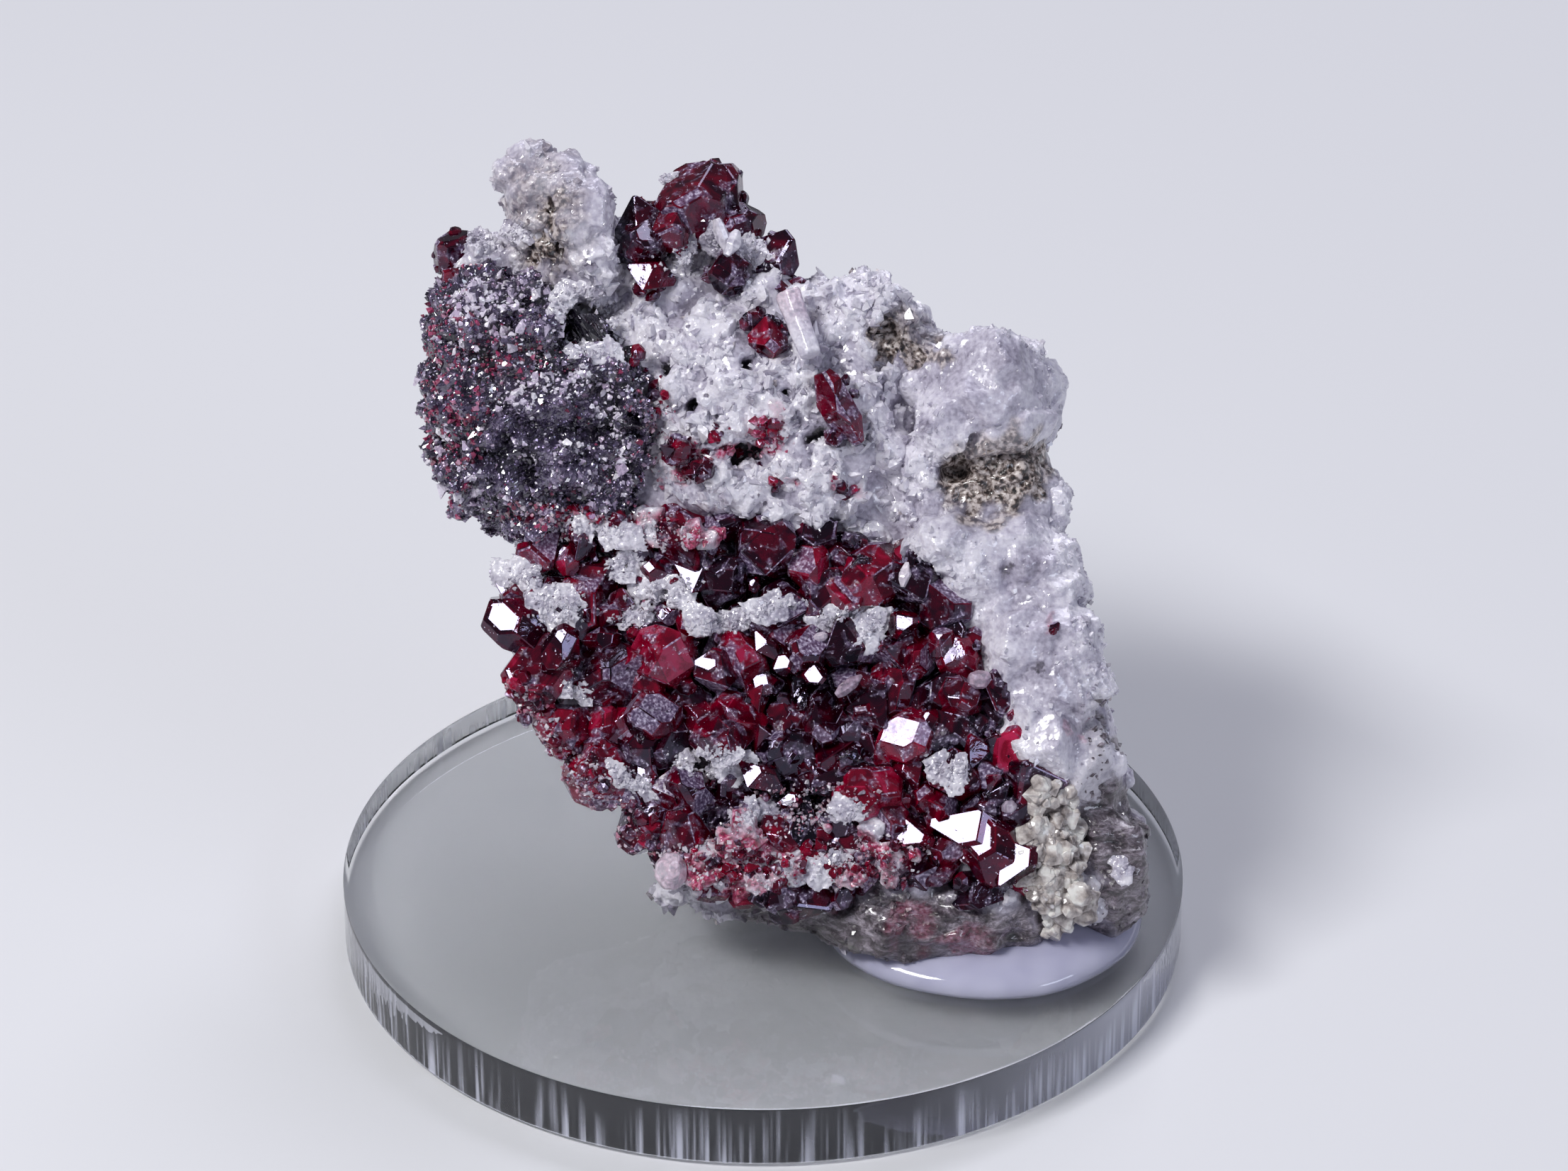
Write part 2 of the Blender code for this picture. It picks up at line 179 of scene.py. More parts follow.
def patch(points, spots, soft=0.35):
    # 1 inside any of the spots, given as x, y, half sizes and turn, and 0 outside
    best = np.zeros(len(points))
    for x, y, halfX, halfY, turn in spots:
        angle = math.radians(turn)
        across, up = points[:, 0] - x, points[:, 1] - y
        along = across * math.cos(angle) + up * math.sin(angle)
        over = up * math.cos(angle) - across * math.sin(angle)
        reach = np.sqrt((along / halfX) ** 2 + (over / halfY) ** 2)
        best = np.maximum(best, np.clip((1 + soft - reach) / (2 * soft), 0, 1))
    return best


def insideOutline(points, outline):
    x, y = points[:, 0], points[:, 1]
    crossings = np.zeros(len(points), int)
    for (x0, y0), (x1, y1) in zip(outline, outline[1:] + outline[:1]):
        if y0 != y1:
            crossings += ((y0 > y) != (y1 > y)) & (x < x0 + (y - y0) * (x1 - x0) / (y1 - y0))
    return crossings % 2 == 1


def copyOfNode(node, name, voxel):
    # the node's own solid, merged, then remade as an even fine mesh
    piece = newObject(name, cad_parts[node].data.copy())
    only(piece)
    bpy.ops.object.mode_set(mode="EDIT")
    bpy.ops.mesh.select_all(action="SELECT")
    bpy.ops.mesh.remove_doubles(threshold=touching)
    bpy.ops.object.mode_set(mode="OBJECT")
    fuse(piece, voxel)
    return piece


def fuse(piece, voxel, smooth=0):
    # grown-together shapes become one skin
    remesh = piece.modifiers.new("fused", "REMESH")
    remesh.mode = "VOXEL"
    remesh.voxel_size = voxel * mm
    if smooth:
        piece.modifiers.new("softened", "SMOOTH").iterations = smooth
    applyModifiers(piece)


def lumps(points, size, seed):  # 1 in the middle of rounded lumps, 0 in the seams between
    shift = Vector((seed * 7.3, seed * 3.1, seed * 5.7))
    return np.array([1 - noise.voronoi(Vector(p) / size + shift)[0][0] for p in points])


def cloud(points, size, seed):  # soft noise from -1 to 1
    shift = Vector((seed * 4.9, seed * 8.3, seed * 2.2))
    return np.array([noise.noise(Vector(p) / size + shift) for p in points])


def relief(points, layers):
    # lumps and clouds added up: height, width and seed, and the level that lumps count from
    move = 0
    for height, width, seed, *level in layers:
        form = lumps(points, width, seed) - level[0] if level else cloud(points, width, seed)
        move = move + height * form
    return move


def roughen(piece, layers, sink=0, hollows=0):
    # the skin moved along its normals by a relief, sunk, and hollowed where the dark holes are
    points, normals = pointsAndNormals(piece.data)
    move = relief(points, layers) - sink
    if hollows:
        move = move - hollows * holes(points)
    setFacePoints(piece.data, points + normals * move[:, None])
    return points, move


def skinOf(piece):
    return BVHTree.FromObject(piece, bpy.context.evaluated_depsgraph_get())


def heightOver(points, base):  # how far points stand out of a piece's skin
    skin = skinOf(base)
    heights = []
    for point in worldPoints(points):
        nearest, normal, _, _ = skin.find_nearest(point)
        heights.append((Vector(point) - nearest).dot(normal) / mm)
    return np.array(heights)


def frontHeights(places, pieces):  # how far out the pieces stand at places on the front
    beyond = 30  # in front of everything
    skins = [skinOf(piece) for piece in pieces]
    inward = faceFrame.to_3x3() @ Vector((0, 0, -1 / mm))
    heights = []
    for x, y in places:
        start = faceFrame @ Vector((x, y, beyond))
        hits = [skin.ray_cast(start, inward) for skin in skins]
        heights.append(max((beyond - hit[3] / mm for hit in hits if hit[0]), default=0))
    return np.array(heights)


# Forms that are modelled once and then copied many times

formSettings = {"start": 4, "plateEdge": 0.13, "plateStep": 0.03}  # a form's radius is about 1


def cutForm(planes, bevel=0.0, plates=0):
    # a block cut down by planes, as a crystal's faces cut it: growth plates stand on its
    # largest faces, and its edges are worn
    s = formSettings
    bpy.ops.mesh.primitive_cube_add(size=s["start"])
    form = bpy.context.active_object
    bpy.ops.object.mode_set(mode="EDIT")
    for normal, reach in planes:
        bpy.ops.mesh.select_all(action="SELECT")
        bpy.ops.mesh.bisect(
            plane_co=normal * reach, plane_no=normal, use_fill=True, clear_outer=True
        )
    work = bmesh.from_edit_mesh(form.data)
    work.faces.layers.float.new("rim")
    bpy.ops.mesh.select_all(action="DESELECT")
    if plates:
        work.faces.ensure_lookup_table()
        before = len(work.faces)
        for face in sorted(work.faces, key=lambda f: -f.calc_area())[:plates]:
            face.select = True
        bmesh.update_edit_mesh(form.data)
        bpy.ops.mesh.inset(thickness=s["plateEdge"], depth=s["plateStep"], use_individual=True)
        markRims(form, lambda face: face.index >= before)
    if bevel:
        bpy.ops.mesh.select_all(action="SELECT")
        bpy.ops.mesh.bevel(offset=bevel, segments=1, affect="EDGES")
        markRims(form, lambda face: face.select)
    bpy.ops.mesh.select_all(action="SELECT")
    bpy.ops.mesh.normals_make_consistent(inside=False)
    bpy.ops.object.mode_set(mode="OBJECT")
    made = readForm(form)
    bpy.data.objects.remove(form, do_unlink=True)
    return made


def markRims(form, chosen):
    work = bmesh.from_edit_mesh(form.data)
    work.faces.index_update()
    rim = work.faces.layers.float["rim"]
    for face in work.faces:
        if chosen(face):
            face[rim] = 1
    bmesh.update_edit_mesh(form.data)


def readForm(form):
    mesh = form.data
    return {
        "points": read(mesh.vertices, "co", 3),
        "corners": read(mesh.loops, "vertex_index", kind=int),
        "sizes": read(mesh.polygons, "loop_total", kind=int),
        "rim": read(mesh.attributes["rim"].data, "value"),
    }


def joinedCopies(name, forms, places, seed):
    # one mesh of many turned and sized copies of the forms
    rng = np.random.default_rng(seed)
    points, corners, sizes, rims = [], [], [], []
    marks = {mark: [] for mark in places["marks"]}
    first = 0
    for index, form in enumerate(forms):
        chosen = np.flatnonzero(places["form"] == index)
        if not len(chosen):
            continue
        count = len(chosen)
        turned = np.einsum("nij,vj->nvi", places["turn"][chosen], form["points"])
        points.append((turned + places["at"][chosen][:, None, :]).reshape(-1, 3))
        starts = first + np.arange(count)[:, None] * len(form["points"])
        corners.append((form["corners"][None, :] + starts).ravel())
        sizes.append(np.tile(form["sizes"], count))
        rims.append(np.tile(form["rim"], count))
        for mark, values in places["marks"].items():
            marks[mark].append(np.repeat(values[chosen], len(form["sizes"])))
        first += count * len(form["points"])
    corners, sizes = np.concatenate(corners), np.concatenate(sizes)
    mesh = bpy.data.meshes.new(name)
    mesh.vertices.add(first)
    mesh.loops.add(len(corners))
    mesh.loops.foreach_set("vertex_index", corners)
    mesh.polygons.add(len(sizes))
    mesh.polygons.foreach_set("loop_start", np.concatenate([[0], np.cumsum(sizes)[:-1]]))
    mesh.update(calc_edges=True)
    setFacePoints(mesh, np.concatenate(points))
    mesh.validate()
    setMark(mesh, "rim", np.concatenate(rims), "FACE")
    facets = rng.random(len(sizes)) * (1 - 0.2 * np.concatenate(marks["shine"]))
    setMark(mesh, "facet", facets, "FACE")
    for mark, values in marks.items():
        setMark(mesh, mark, np.concatenate(values), "FACE")
    mesh.shade_flat()
    return newObject(name, mesh)


def randomTurns(count, rng):  # rotation matrices, evenly spread
    quaternions = rng.normal(size=(4, count))
    w, x, y, z = quaternions / np.linalg.norm(quaternions, axis=0)
    rows = [
        [1 - 2 * (y * y + z * z), 2 * (x * y - z * w), 2 * (x * z + y * w)],
        [2 * (x * y + z * w), 1 - 2 * (x * x + z * z), 2 * (y * z - x * w)],
        [2 * (x * z - y * w), 2 * (y * z + x * w), 1 - 2 * (x * x + y * y)],
    ]
    return np.moveaxis(np.array(rows), 2, 0)


def grainSizes(rng, count, sizes, rarity):  # between two sizes, the large ones the rarer
    return sizes[0] + (sizes[1] - sizes[0]) * rng.random(count) ** rarity


def scatter(points, sizes, forms, seed, marks, squash=0.25):
    rng = np.random.default_rng(seed)
    count = len(points)
    stretch = rng.uniform(1 - squash, 1 + squash, (count, 1, 3)) * sizes[:, None, None]
    return {
        "form": rng.integers(0, len(forms), count),
        "turn": randomTurns(count, rng) * stretch,
        "at": points,
        "marks": {"shine": np.zeros(count), **marks},
    }


def handPlaced(entries, normal):
    # entries are form, place, size in x, y and z, turn in degrees, and tone
    turns = []
    for _, _, size, turn, _ in entries:
        if isinstance(turn, tuple):
            spin = Matrix.Rotation(math.radians(turn[2]), 3, "Z")
            spin = spin @ Matrix.Rotation(math.radians(turn[1]), 3, "Y")
            spin = spin @ Matrix.Rotation(math.radians(turn[0]), 3, "X")
        else:  # one of its slanting faces looks along the normal, spun about it
            slant = Vector([1 / side for side in size])
            spin = slant.rotation_difference(normal).to_matrix()
            spin = Quaternion(normal, math.radians(turn)).to_matrix() @ spin
        turns.append(np.array(spin) * np.array(size))
    return {
        "form": np.array([entry[0] for entry in entries]),
        "turn": np.array(turns),
        "at": np.array([entry[1] for entry in entries], float),
        "marks": {
            "tone": np.array([entry[4] for entry in entries], float),
            "shine": np.array([not isinstance(entry[3], tuple) for entry in entries], float),
        },
    }


def together(*places):  # several sets of copies as one
    joined = {key: np.concatenate([p[key] for p in places]) for key in ("form", "turn", "at")}
    marks = {m: np.concatenate([p["marks"][m] for p in places]) for m in places[0]["marks"]}
    return {**joined, "marks": marks}


def surfaceSamples(piece, count, rng):  # even random points on a piece, with normals
    mesh = piece.data
    mesh.calc_loop_triangles()
    triangles = facePoints(mesh)[read(mesh.loop_triangles, "vertices", 3, int)]
    normals = np.cross(triangles[:, 1] - triangles[:, 0], triangles[:, 2] - triangles[:, 0])
    areas = np.linalg.norm(normals, axis=1)
    chosen = rng.choice(len(areas), count, p=areas / areas.sum())
    u, v = rng.random((2, count))
    over = u + v > 1
    u[over], v[over] = 1 - u[over], 1 - v[over]
    a, b, c = triangles[chosen].transpose(1, 0, 2)
    points = a + (b - a) * u[:, None] + (c - a) * v[:, None]
    return points, normals[chosen] / areas[chosen][:, None]


# The camera, at the front, looks almost straight at the leaning face

cameraSettings = {
    "distance": 0.300,
    "elevation": 30.93,
    "target": (0.001, 0, 0.01857),
    "pixelsPerMm": 30.37,  # at the target, in a render of the full width
    "fullWidth": 2213,
    "sensor": 36,  # mm
    "nearest": 0.01,  # like the distance and the target, in metres
}


def makeCamera():
    s = cameraSettings
    data = bpy.data.cameras.new("camera")
    data.sensor_width = s["sensor"]
    data.lens = s["sensor"] * s["pixelsPerMm"] * s["distance"] / mm / s["fullWidth"]
    data.clip_start = s["nearest"]
    camera = newObject("camera", data)
    elevation = math.radians(s["elevation"])
    back = Vector((0, -math.cos(elevation), math.sin(elevation)))
    camera.location = Vector(s["target"]) + back * s["distance"]
    camera.rotation_euler = (math.radians(90) - elevation, 0, 0)
    bpy.context.scene.camera = camera


# A pale floor and soft studio light

lightSettings = {
    # place, length and width in metres, watts, colour; all aim at the middle of the specimen
    "key": ((-0.22, -0.16, 0.36), (0.20, 0.08), 1.5, "#FFFFFF"),
    "fill": ((0.34, -0.26, 0.22), (0.26, 0.06), 0.36, "#E4ECFF"),
    "back": ((0.10, 0.28, 0.40), (0.26, 0.20), 0.95, "#F2F2FF"),
}
lightAim = Vector((0, 0, 0.02))
floorSettings = {"size": 3.0, "drop": 0.0002, "colour": "#DCDCDF", "roughness": 0.7}
worldSettings = {"colour": "#C4C8D4", "strength": 0.25}


def floorLook(add, reads):
    # matt and plain, to catch the shadow
    paper = {"Base Color": floorSettings["colour"], "Roughness": floorSettings["roughness"]}
    return {"Surface": add("BsdfPrincipled", paper)}


def makeStage():
    s = floorSettings
    bpy.ops.mesh.primitive_plane_add(size=s["size"], location=(0, 0, -s["drop"]))
    floor = bpy.context.active_object
    floor.name = "floor"
    floor.data.materials.append(newMaterial("paleFloor", floorLook))
    for name, (place, size, watts, colour) in lightSettings.items():
        data = bpy.data.lights.new(name, "AREA")
        data.shape = "RECTANGLE"
        data.size, data.size_y = size
        data.energy = watts
        data.color = linear(colour)[:3]
        lamp = newObject(name, data)
        lamp.location = place
        lamp.rotation_euler = (lightAim - Vector(place)).to_track_quat("-Z", "Y").to_euler()
    world = bpy.data.worlds.new("studio")
    world.use_nodes = True
    background = world.node_tree.nodes["Background"]
    background.inputs["Color"].default_value = linear(worldSettings["colour"])
    background.inputs["Strength"].default_value = worldSettings["strength"]
    bpy.context.scene.world = world
    bpy.context.scene.view_settings.view_transform = "Standard"


makeCamera()
makeStage()
report("stage")

# The way a facet looks when it mirrors the key light to the camera, in the face frame
toCamera = bpy.context.scene.camera.location.normalized()
toKey = (Vector(lightSettings["key"][0]) - lightAim).normalized()
mirrorNormal = (faceFrame.to_3x3().inverted() @ (toCamera + toKey)).normalized()


# Materials: a pattern's grain is the width of its features in mm


def glint(add, place, grain, amount):
    # grains too small to model: each cell's surface looks its own way, so some catch the light
    cells = add("TexVoronoi", {"grain": grain, "Vector": place}).outputs["Color"]
    centred = add("VectorMath", {"operation": "SUBTRACT", 0: cells, 1: (0.5, 0.5, 0.5)})
    tilt = add("VectorMath", {"operation": "SCALE", 0: centred, "Scale": amount})
    normal = add("NewGeometry").outputs["Normal"]
    tilted = add("VectorMath", {"operation": "ADD", 0: normal, 1: tilt})
    return add("VectorMath", {"operation": "NORMALIZE", 0: tilted})


def redCrystalLook(add, reads):
    # cuprite, grown as glassy crystals: each facet is smooth and has its own depth, from
    # near black to crimson with veils, and some facets and edges carry a lilac frost
    place = reads["place"]
    veils, mottle, specks = [
        add("TexNoise", {"grain": grain, "Detail": detail, "Distortion": bent, "Vector": place})
        for grain, detail, bent in ((1 / 0.7, 4.0, 1.6), (1 / 1.5, 5.0, 0.6), (1 / 7, 2.0, 0.0))
    ]
    veils = add("MapRange", {"Value": veils, "From Min": 0.36, "From Max": 0.66})
    depth = add("Math", {"operation": "MULTIPLY", 0: reads["facet"], 1: 9.7})
    depth = add("Math", {"operation": "FRACT", 0: depth})
    tone = add("Math", {"operation": "MULTIPLY", 0: reads["tone"], 1: 0.55})
    limits = {"From Min": 0.86, "From Max": 0.88, "To Max": 0.3}
    frosted = add("MapRange", {"Value": reads["facet"], **limits})
    # sums of shares: how light the red is, how much frost covers it, and its dust
    sums = []
    for total, shares in (
        (tone, ((veils, 0.3), (depth, 0.3))),
        (frosted, ((reads["rim"], 0.16), (reads["shine"], -0.2), (mottle, 1.0))),
        (specks, ((mottle, 0.5),)),
    ):
        for part, share in shares:
            total = add("Math", {"operation": "MULTIPLY_ADD", 0: part, 1: share, 2: total})
        sums.append(total)
    tone, cover, dust = sums
    stops = [
        (0.15, "#0E020E"), (0.4, "#380018"), (0.62, "#7A0024"), (0.84, "#B80032"), (1.0, "#F03468"),
    ]
    red = add("ValToRGB", {"stops": stops, "Fac": tone})
    cover, dust = [
        add("MapRange", {"Value": value, "From Min": least, "From Max": most, "To Max": full})
        for value, least, most, full in ((cover, 0.69, 0.86, 0.7), (dust, 0.94, 0.97, 0.9))
    ]
    frost = add("Math", {"operation": "MAXIMUM", 0: cover, 1: dust})
    stops = [(0.36, "#4C3A5C"), (0.52, "#887698"), (0.66, "#DCD2EC")]
    frostColour = add("ValToRGB", {"stops": stops, "Fac": specks})
    waves = add("Bump", {"Strength": 0.12, "Distance": 0.06 * mm, "Height": veils})
    clear = add("BsdfPrincipled", {
        "Base Color": red, "Normal": waves, "Roughness": 0.03, "IOR": 1.65,
        "Transmission Weight": 0.6, "Specular Tint": "#E0DAFF", "Specular IOR Level": 0.38,
    })
    matt = add("BsdfPrincipled", {
        "Base Color": frostColour, "Normal": glint(add, place, 1 / 7, 0.35),
        "Roughness": 0.28, "IOR": 1.6,
    })
    return {
        "Surface": add("MixShader", {0: frost, 1: clear, 2: matt}),
        "Volume": add("VolumeAbsorption", {"Color": "#F01040", "Density": 700.0}),
    }


calciteBody = {
    "IOR": 1.6, "Transmission Weight": 0.12, "Subsurface Weight": 0.2, "Subsurface Scale": 1.0,
}


def calciteLook(add, reads):
    # sugary calcite: milky and icy, painted grey in its hollows as painted shade, stained
    # brown, pink and dark by the rock it grew on
    place = reads["place"]
    clouds, fine, porous = [
        add("TexNoise", {"grain": grain, "Detail": detail, "Vector": place})
        for grain, detail in ((1 / 0.7, 5.0), (1 / 4.2, 4.0), (1 / 3.6, 5.0))
    ]
    streaks = add("VectorMath", {"operation": "MULTIPLY", 0: place, 1: (0.8, 1.0, 1.5)})
    banded = add("TexNoise", {
        "grain": 1 / 1.3, "Detail": 8.0, "Roughness": 0.78, "Distortion": 0.5, "Vector": streaks,
    })
    both = add("Math", {"operation": "ADD", 0: clouds, 1: fine})
    centred = add("Math", {"operation": "MULTIPLY_ADD", 0: both, 1: 0.9, 2: -0.9})
    tone = add("Math", {"operation": "ADD", 0: reads["tone"], 1: centred})
    stops = [
        (0.0, "#2C2832"), (0.2, "#625C6B"), (0.4, "#9D96AA"), (0.65, "#C8C2D4"), (1.0, "#F0ECF8"),
    ]
    colour = add("ValToRGB", {"stops": stops, "Fac": tone})
    for name, pattern, stops in (
        ("brown", porous, [
            (0.38, "#201818"), (0.45, "#5C4C46"), (0.51, "#9C8C86"), (0.6, "#E0D4D0"),
        ]),
        ("host", banded, [
            (0.36, "#1A141C"), (0.46, "#463C44"), (0.54, "#786E78"), (0.62, "#A89EAA"),
            (0.72, "#E4DCE8"),
        ]),
        ("pink", fine, [(0.4, "#72002C"), (0.52, "#B82C60"), (0.66, "#E4A4C2")]),
    ):
        stain = add("ValToRGB", {"stops": stops, "Fac": pattern})
        colour = add("Mix", {"data_type": "RGBA", 0: reads[name], 6: colour, 7: stain})
        colour = colour.outputs[2]
    rough = add("Bump", {
        "Strength": 0.5, "Distance": 0.06 * mm, "Height": fine,
        "Normal": glint(add, place, 1 / 7, 0.5),
    })
    plain = add("NewGeometry").outputs["Normal"]
    normal = add("Mix", {"data_type": "VECTOR", 0: reads["milky"], 4: rough, 5: plain})
    return {"Surface": add("BsdfPrincipled", {
        **calciteBody, "Base Color": colour, "Normal": normal.outputs[1], "Roughness": 0.35,
        "Subsurface Radius": (0.0006, 0.0006, 0.0007),
        "Coat Weight": 0.4, "Coat Roughness": 0.08, "Coat IOR": 1.8,
    })}


def crustLook(add, reads):
    # tiny metallic dark crystals, glittering, with red and white ones among them; the white ones
    # that are spread for glitter are painted highlights
    tone = reads["tone"]
    stops = [
        (0.0, "#181222"), (0.3, "#564A6A"), (0.6, "#BCACCC"), (0.64, "#5A0C2C"),
        (0.84, "#B03C6A"), (0.9, "#C8B8D4"), (1.0, "#FAF6FF"),
    ]
    metal = {"Value": tone, "From Min": 0.63, "From Max": 0.67, "To Min": 0.5, "To Max": 0.0}
    rough = {"Value": reads["facet"], "To Min": 0.08, "To Max": 0.3}
    return {"Surface": add("BsdfPrincipled", {
        "Base Color": add("ValToRGB", {"stops": stops, "Fac": tone}),
        "Metallic": add("MapRange", metal), "Roughness": add("MapRange", rough),
        "Normal": glint(add, reads["place"], 1 / 12, 0.9),
        "IOR": 1.6, "Coat Weight": 0.8, "Coat Roughness": 0.05, "Coat IOR": 2.0,
    })}


def creamLook(add, reads):
    # yellowish calcite, clear enough for light to soak in
    place = reads["place"]
    clouds = add("TexNoise", {"grain": 1 / 1.5, "Detail": 4.0, "Vector": place})
    stops = [(0.35, "#8C8280"), (0.5, "#D6CCC8"), (0.62, "#FFFCF6")]
    return {"Surface": add("BsdfPrincipled", {
        **calciteBody, "Base Color": add("ValToRGB", {"stops": stops, "Fac": clouds}),
        "Normal": glint(add, place, 1 / 6, 0.4), "Roughness": 0.18,
        "Subsurface Radius": (0.0006, 0.0006, 0.0005),
    })}


def acrylicLook(add, reads):
    # cast acrylic: clear and polished, and whitish where the cutter scored its edge and, as painted
    # light, on the side of the edge that is painted as if lit
    polished, scored = [
        add("BsdfPrincipled", {
            "Base Color": colour, "Roughness": roughness, "IOR": 1.49, "Transmission Weight": clear,
        })
        for colour, roughness, clear in (("#FCFDFE", 0.01, 1.0), ("#E4E6F6", 0.25, 0.25))
    ]
    return {"Surface": add("MixShader", {0: reads["scored"], 1: polished, 2: scored})}


def glueLook(add, reads):
    # hot-melt glue that set from a melt: milky, smooth and glossy
    clouds = add("TexNoise", {"grain": 1 / 0.3, "Detail": 2.0, "Vector": reads["place"]})
    stops = [(0.3, "#AAA9C4"), (0.7, "#CAC9E0")]
    return {"Surface": add("BsdfPrincipled", {
        "Base Color": add("ValToRGB", {"stops": stops, "Fac": clouds}),
        "Roughness": 0.05, "IOR": 1.48, "Subsurface Weight": 0.4, "Subsurface Scale": 1.0,
        "Subsurface Radius": (0.002, 0.002, 0.0022),
    })}


redCuprite = newMaterial("redCuprite", redCrystalLook, "facet", "tone", "rim", "shine")
sugaryCalcite = newMaterial("sugaryCalcite", calciteLook, "tone", "brown", "host", "pink", "milky")
darkCrust = newMaterial("darkCrust", crustLook, "tone", "facet")
creamCalcite = newMaterial("creamCalcite", creamLook)
clearAcrylic = newMaterial("clearAcrylic", acrylicLook, "scored")
hotMeltGlue = newMaterial("hotMeltGlue", glueLook)


# Forms: cubic crystals for the reds, chips for the calcite


def cubicPlanes(cube, octahedron, dodecahedron, rng, stray):
    # how far the faces of each shape lie from the middle, give or take
    signs = (1, -1)
    axes = [Vector(a) * sign for a in ((1, 0, 0), (0, 1, 0), (0, 0, 1)) for sign in signs]
    corners = [Vector((x, y, z)).normalized() for x in signs for y in signs for z in signs]
    edges = [
        Vector((*(a, b)[:flat], 0, *(a, b)[flat:])).normalized()
        for flat in (2, 1, 0) for a in signs for b in signs
    ]
    planes = []
    for normals, reach in ((axes, cube), (corners, octahedron), (edges, dodecahedron)):
        if reach:
            planes += [(n, reach * rng.uniform(1 - stray, 1 + stray)) for n in normals]
    return planes


def chipPlanes(count, rng, least, stray):
    # planes spread evenly round a spiral, each turned a little and at its own reach
    spiral = 2.4  # the golden angle
    steps = np.arange(count) + 0.5
    height = 1 - 2 * steps / count
    level = np.sqrt(1 - height * height)
    around = steps * spiral
    normals = np.stack([np.cos(around) * level, np.sin(around) * level, height], 1)
    normals += rng.normal(size=(count, 3)) * stray
    normals /= np.linalg.norm(normals, axis=1)[:, None]
    return [(Vector(n), rng.uniform(least, 1.0)) for n in normals]


formRng = np.random.default_rng(11)
crystalForms = [
    cutForm(cubicPlanes(cube, octahedron, dodecahedron, formRng, 0.2), bevel=0.025, plates=plates)
    for cube, octahedron, dodecahedron, plates in (
        (1.0, 0.72, 0, 2), (0.86, 0.8, 0.9, 1), (0.95, 0.66, 0, 1), (0.8, 0.95, 0.88, 0),
        (0.9, 0.76, 0, 2), (1.1, 0.7, 0, 0), (0.88, 0.86, 0.82, 1), (0.78, 0.9, 1.0, 2),
    )
]
roundForm = cutForm(cubicPlanes(0.9, 0.9, 0.88, formRng, 0.05), bevel=0.09)
topForms = crystalForms + [roundForm]
lumpForms, blockForms, chipForms = [
    [cutForm(chipPlanes(sides, formRng, least, stray)) for _ in range(8)]
    for sides, least, stray in ((16, 0.8, 0.15), (11, 0.7, 0.2), (7, 0.6, 0.2))
]
report("forms")

# The rock: a core, a jumble of white calcite grown over its front, and sugar grains

bedOutline = [
    (-11.4, 14.4), (-8.0, 16.6), (-3.0, 17.0), (3.8, 15.6), (8.6, 14.4), (11.2, 9.0),
    (12.8, 5.0), (12.8, -0.4), (9.4, -0.8), (4.6, -1.2), (0.8, -1.8), (-3.8, -0.4),
    (-7.4, 4.0), (-11.5, 8.2), (-12.1, 11.4),
]
lobeSpots = [(-11.2, 22.0, 4.4, 5.6, 0), (-12.2, 25.8, 2.4, 2.2, 0), (-8.2, 18.2, 3.4, 2.6, 0)]
rockZones = {
    # stains on the rock: place, half sizes, turn
    "host": [(7.5, -3.2, 9.5, 2.4, -4), (16.7, 0.4, 1.9, 4.6, 15), (15.6, 5.4, 0.8, 2.6, 8)],
    "brown": [
        (-9.6, 31.3, 0.5, 0.7, 0), (-9.9, 30.2, 0.6, 0.8, 10), (-9.5, 29.1, 0.5, 0.7, 0),
        (-10.2, 28.3, 0.7, 0.8, 0), (11.0, 18.5, 2.9, 1.9, 6), (5.9, 24.6, 1.0, 0.8, 0),
        (-8.2, 25.2, 1.1, 0.6, 0), (7.2, 24.0, 1.2, 0.8, 20), (17.4, -3.0, 0.8, 0.5, 0),
    ],
    "tan": [(-10.3, 30.4, 2.0, 3.2, 8), (15.6, 15.2, 0.7, 1.6, 10), (6.6, 25.2, 1.3, 0.9, 10)],
    "pink": [
        (0.3, 20.2, 0.9, 0.7, 20), (-3.7, 19.0, 1.1, 0.7, 0), (0.6, 17.8, 0.4, 0.3, 0),
        (3.9, 17.6, 0.5, 0.4, 0), (13.3, 11.2, 0.3, 0.4, 0), (14.6, 6.7, 0.3, 0.3, 0),
        (-9.0, 16.0, 3.0, 0.8, -6), (-1.5, 19.4, 0.5, 0.3, 0),
    ],
    "rust": [(6.6, -2.4, 1.2, 0.7, 20), (9.4, -3.4, 1.6, 0.5, 5), (3.6, -1.6, 0.8, 0.4, 0)],
    # big smooth blocks stand here, not the fine jumble
    "blocky": [
        (10.6, 22.4, 3.2, 2.6, -15), (10.0, 16.4, 3.0, 1.4, -10), (12.2, 11.8, 1.8, 4.6, 8),
        (13.6, 7.4, 1.2, 2.6, 8), (-8.3, 31.3, 1.2, 2.6, 15), (-11.4, 31.9, 0.9, 1.8, 0),
    ],
    "grey": [(14.9, 12.4, 0.8, 5.4, 4), (-6.4, 22.0, 1.2, 2.6, 10), (7.0, 23.6, 1.6, 1.2, 20)],
    # kept clear of the jumble for the crystals and the rod
    "clear": [
        (-3.0, 29.6, 3.6, 3.0, -25), (3.6, 21.2, 1.1, 1.7, -20), (0.3, 24.7, 1.1, 1.1, 0),
        (-3.4, 19.0, 1.2, 1.1, 0), (0.9, 25.6, 0.8, 1.8, 30), (-14.5, 28.3, 1.2, 1.7, 0),
        (-6.2, 30.2, 1.4, 2.4, 0),
    ],
}
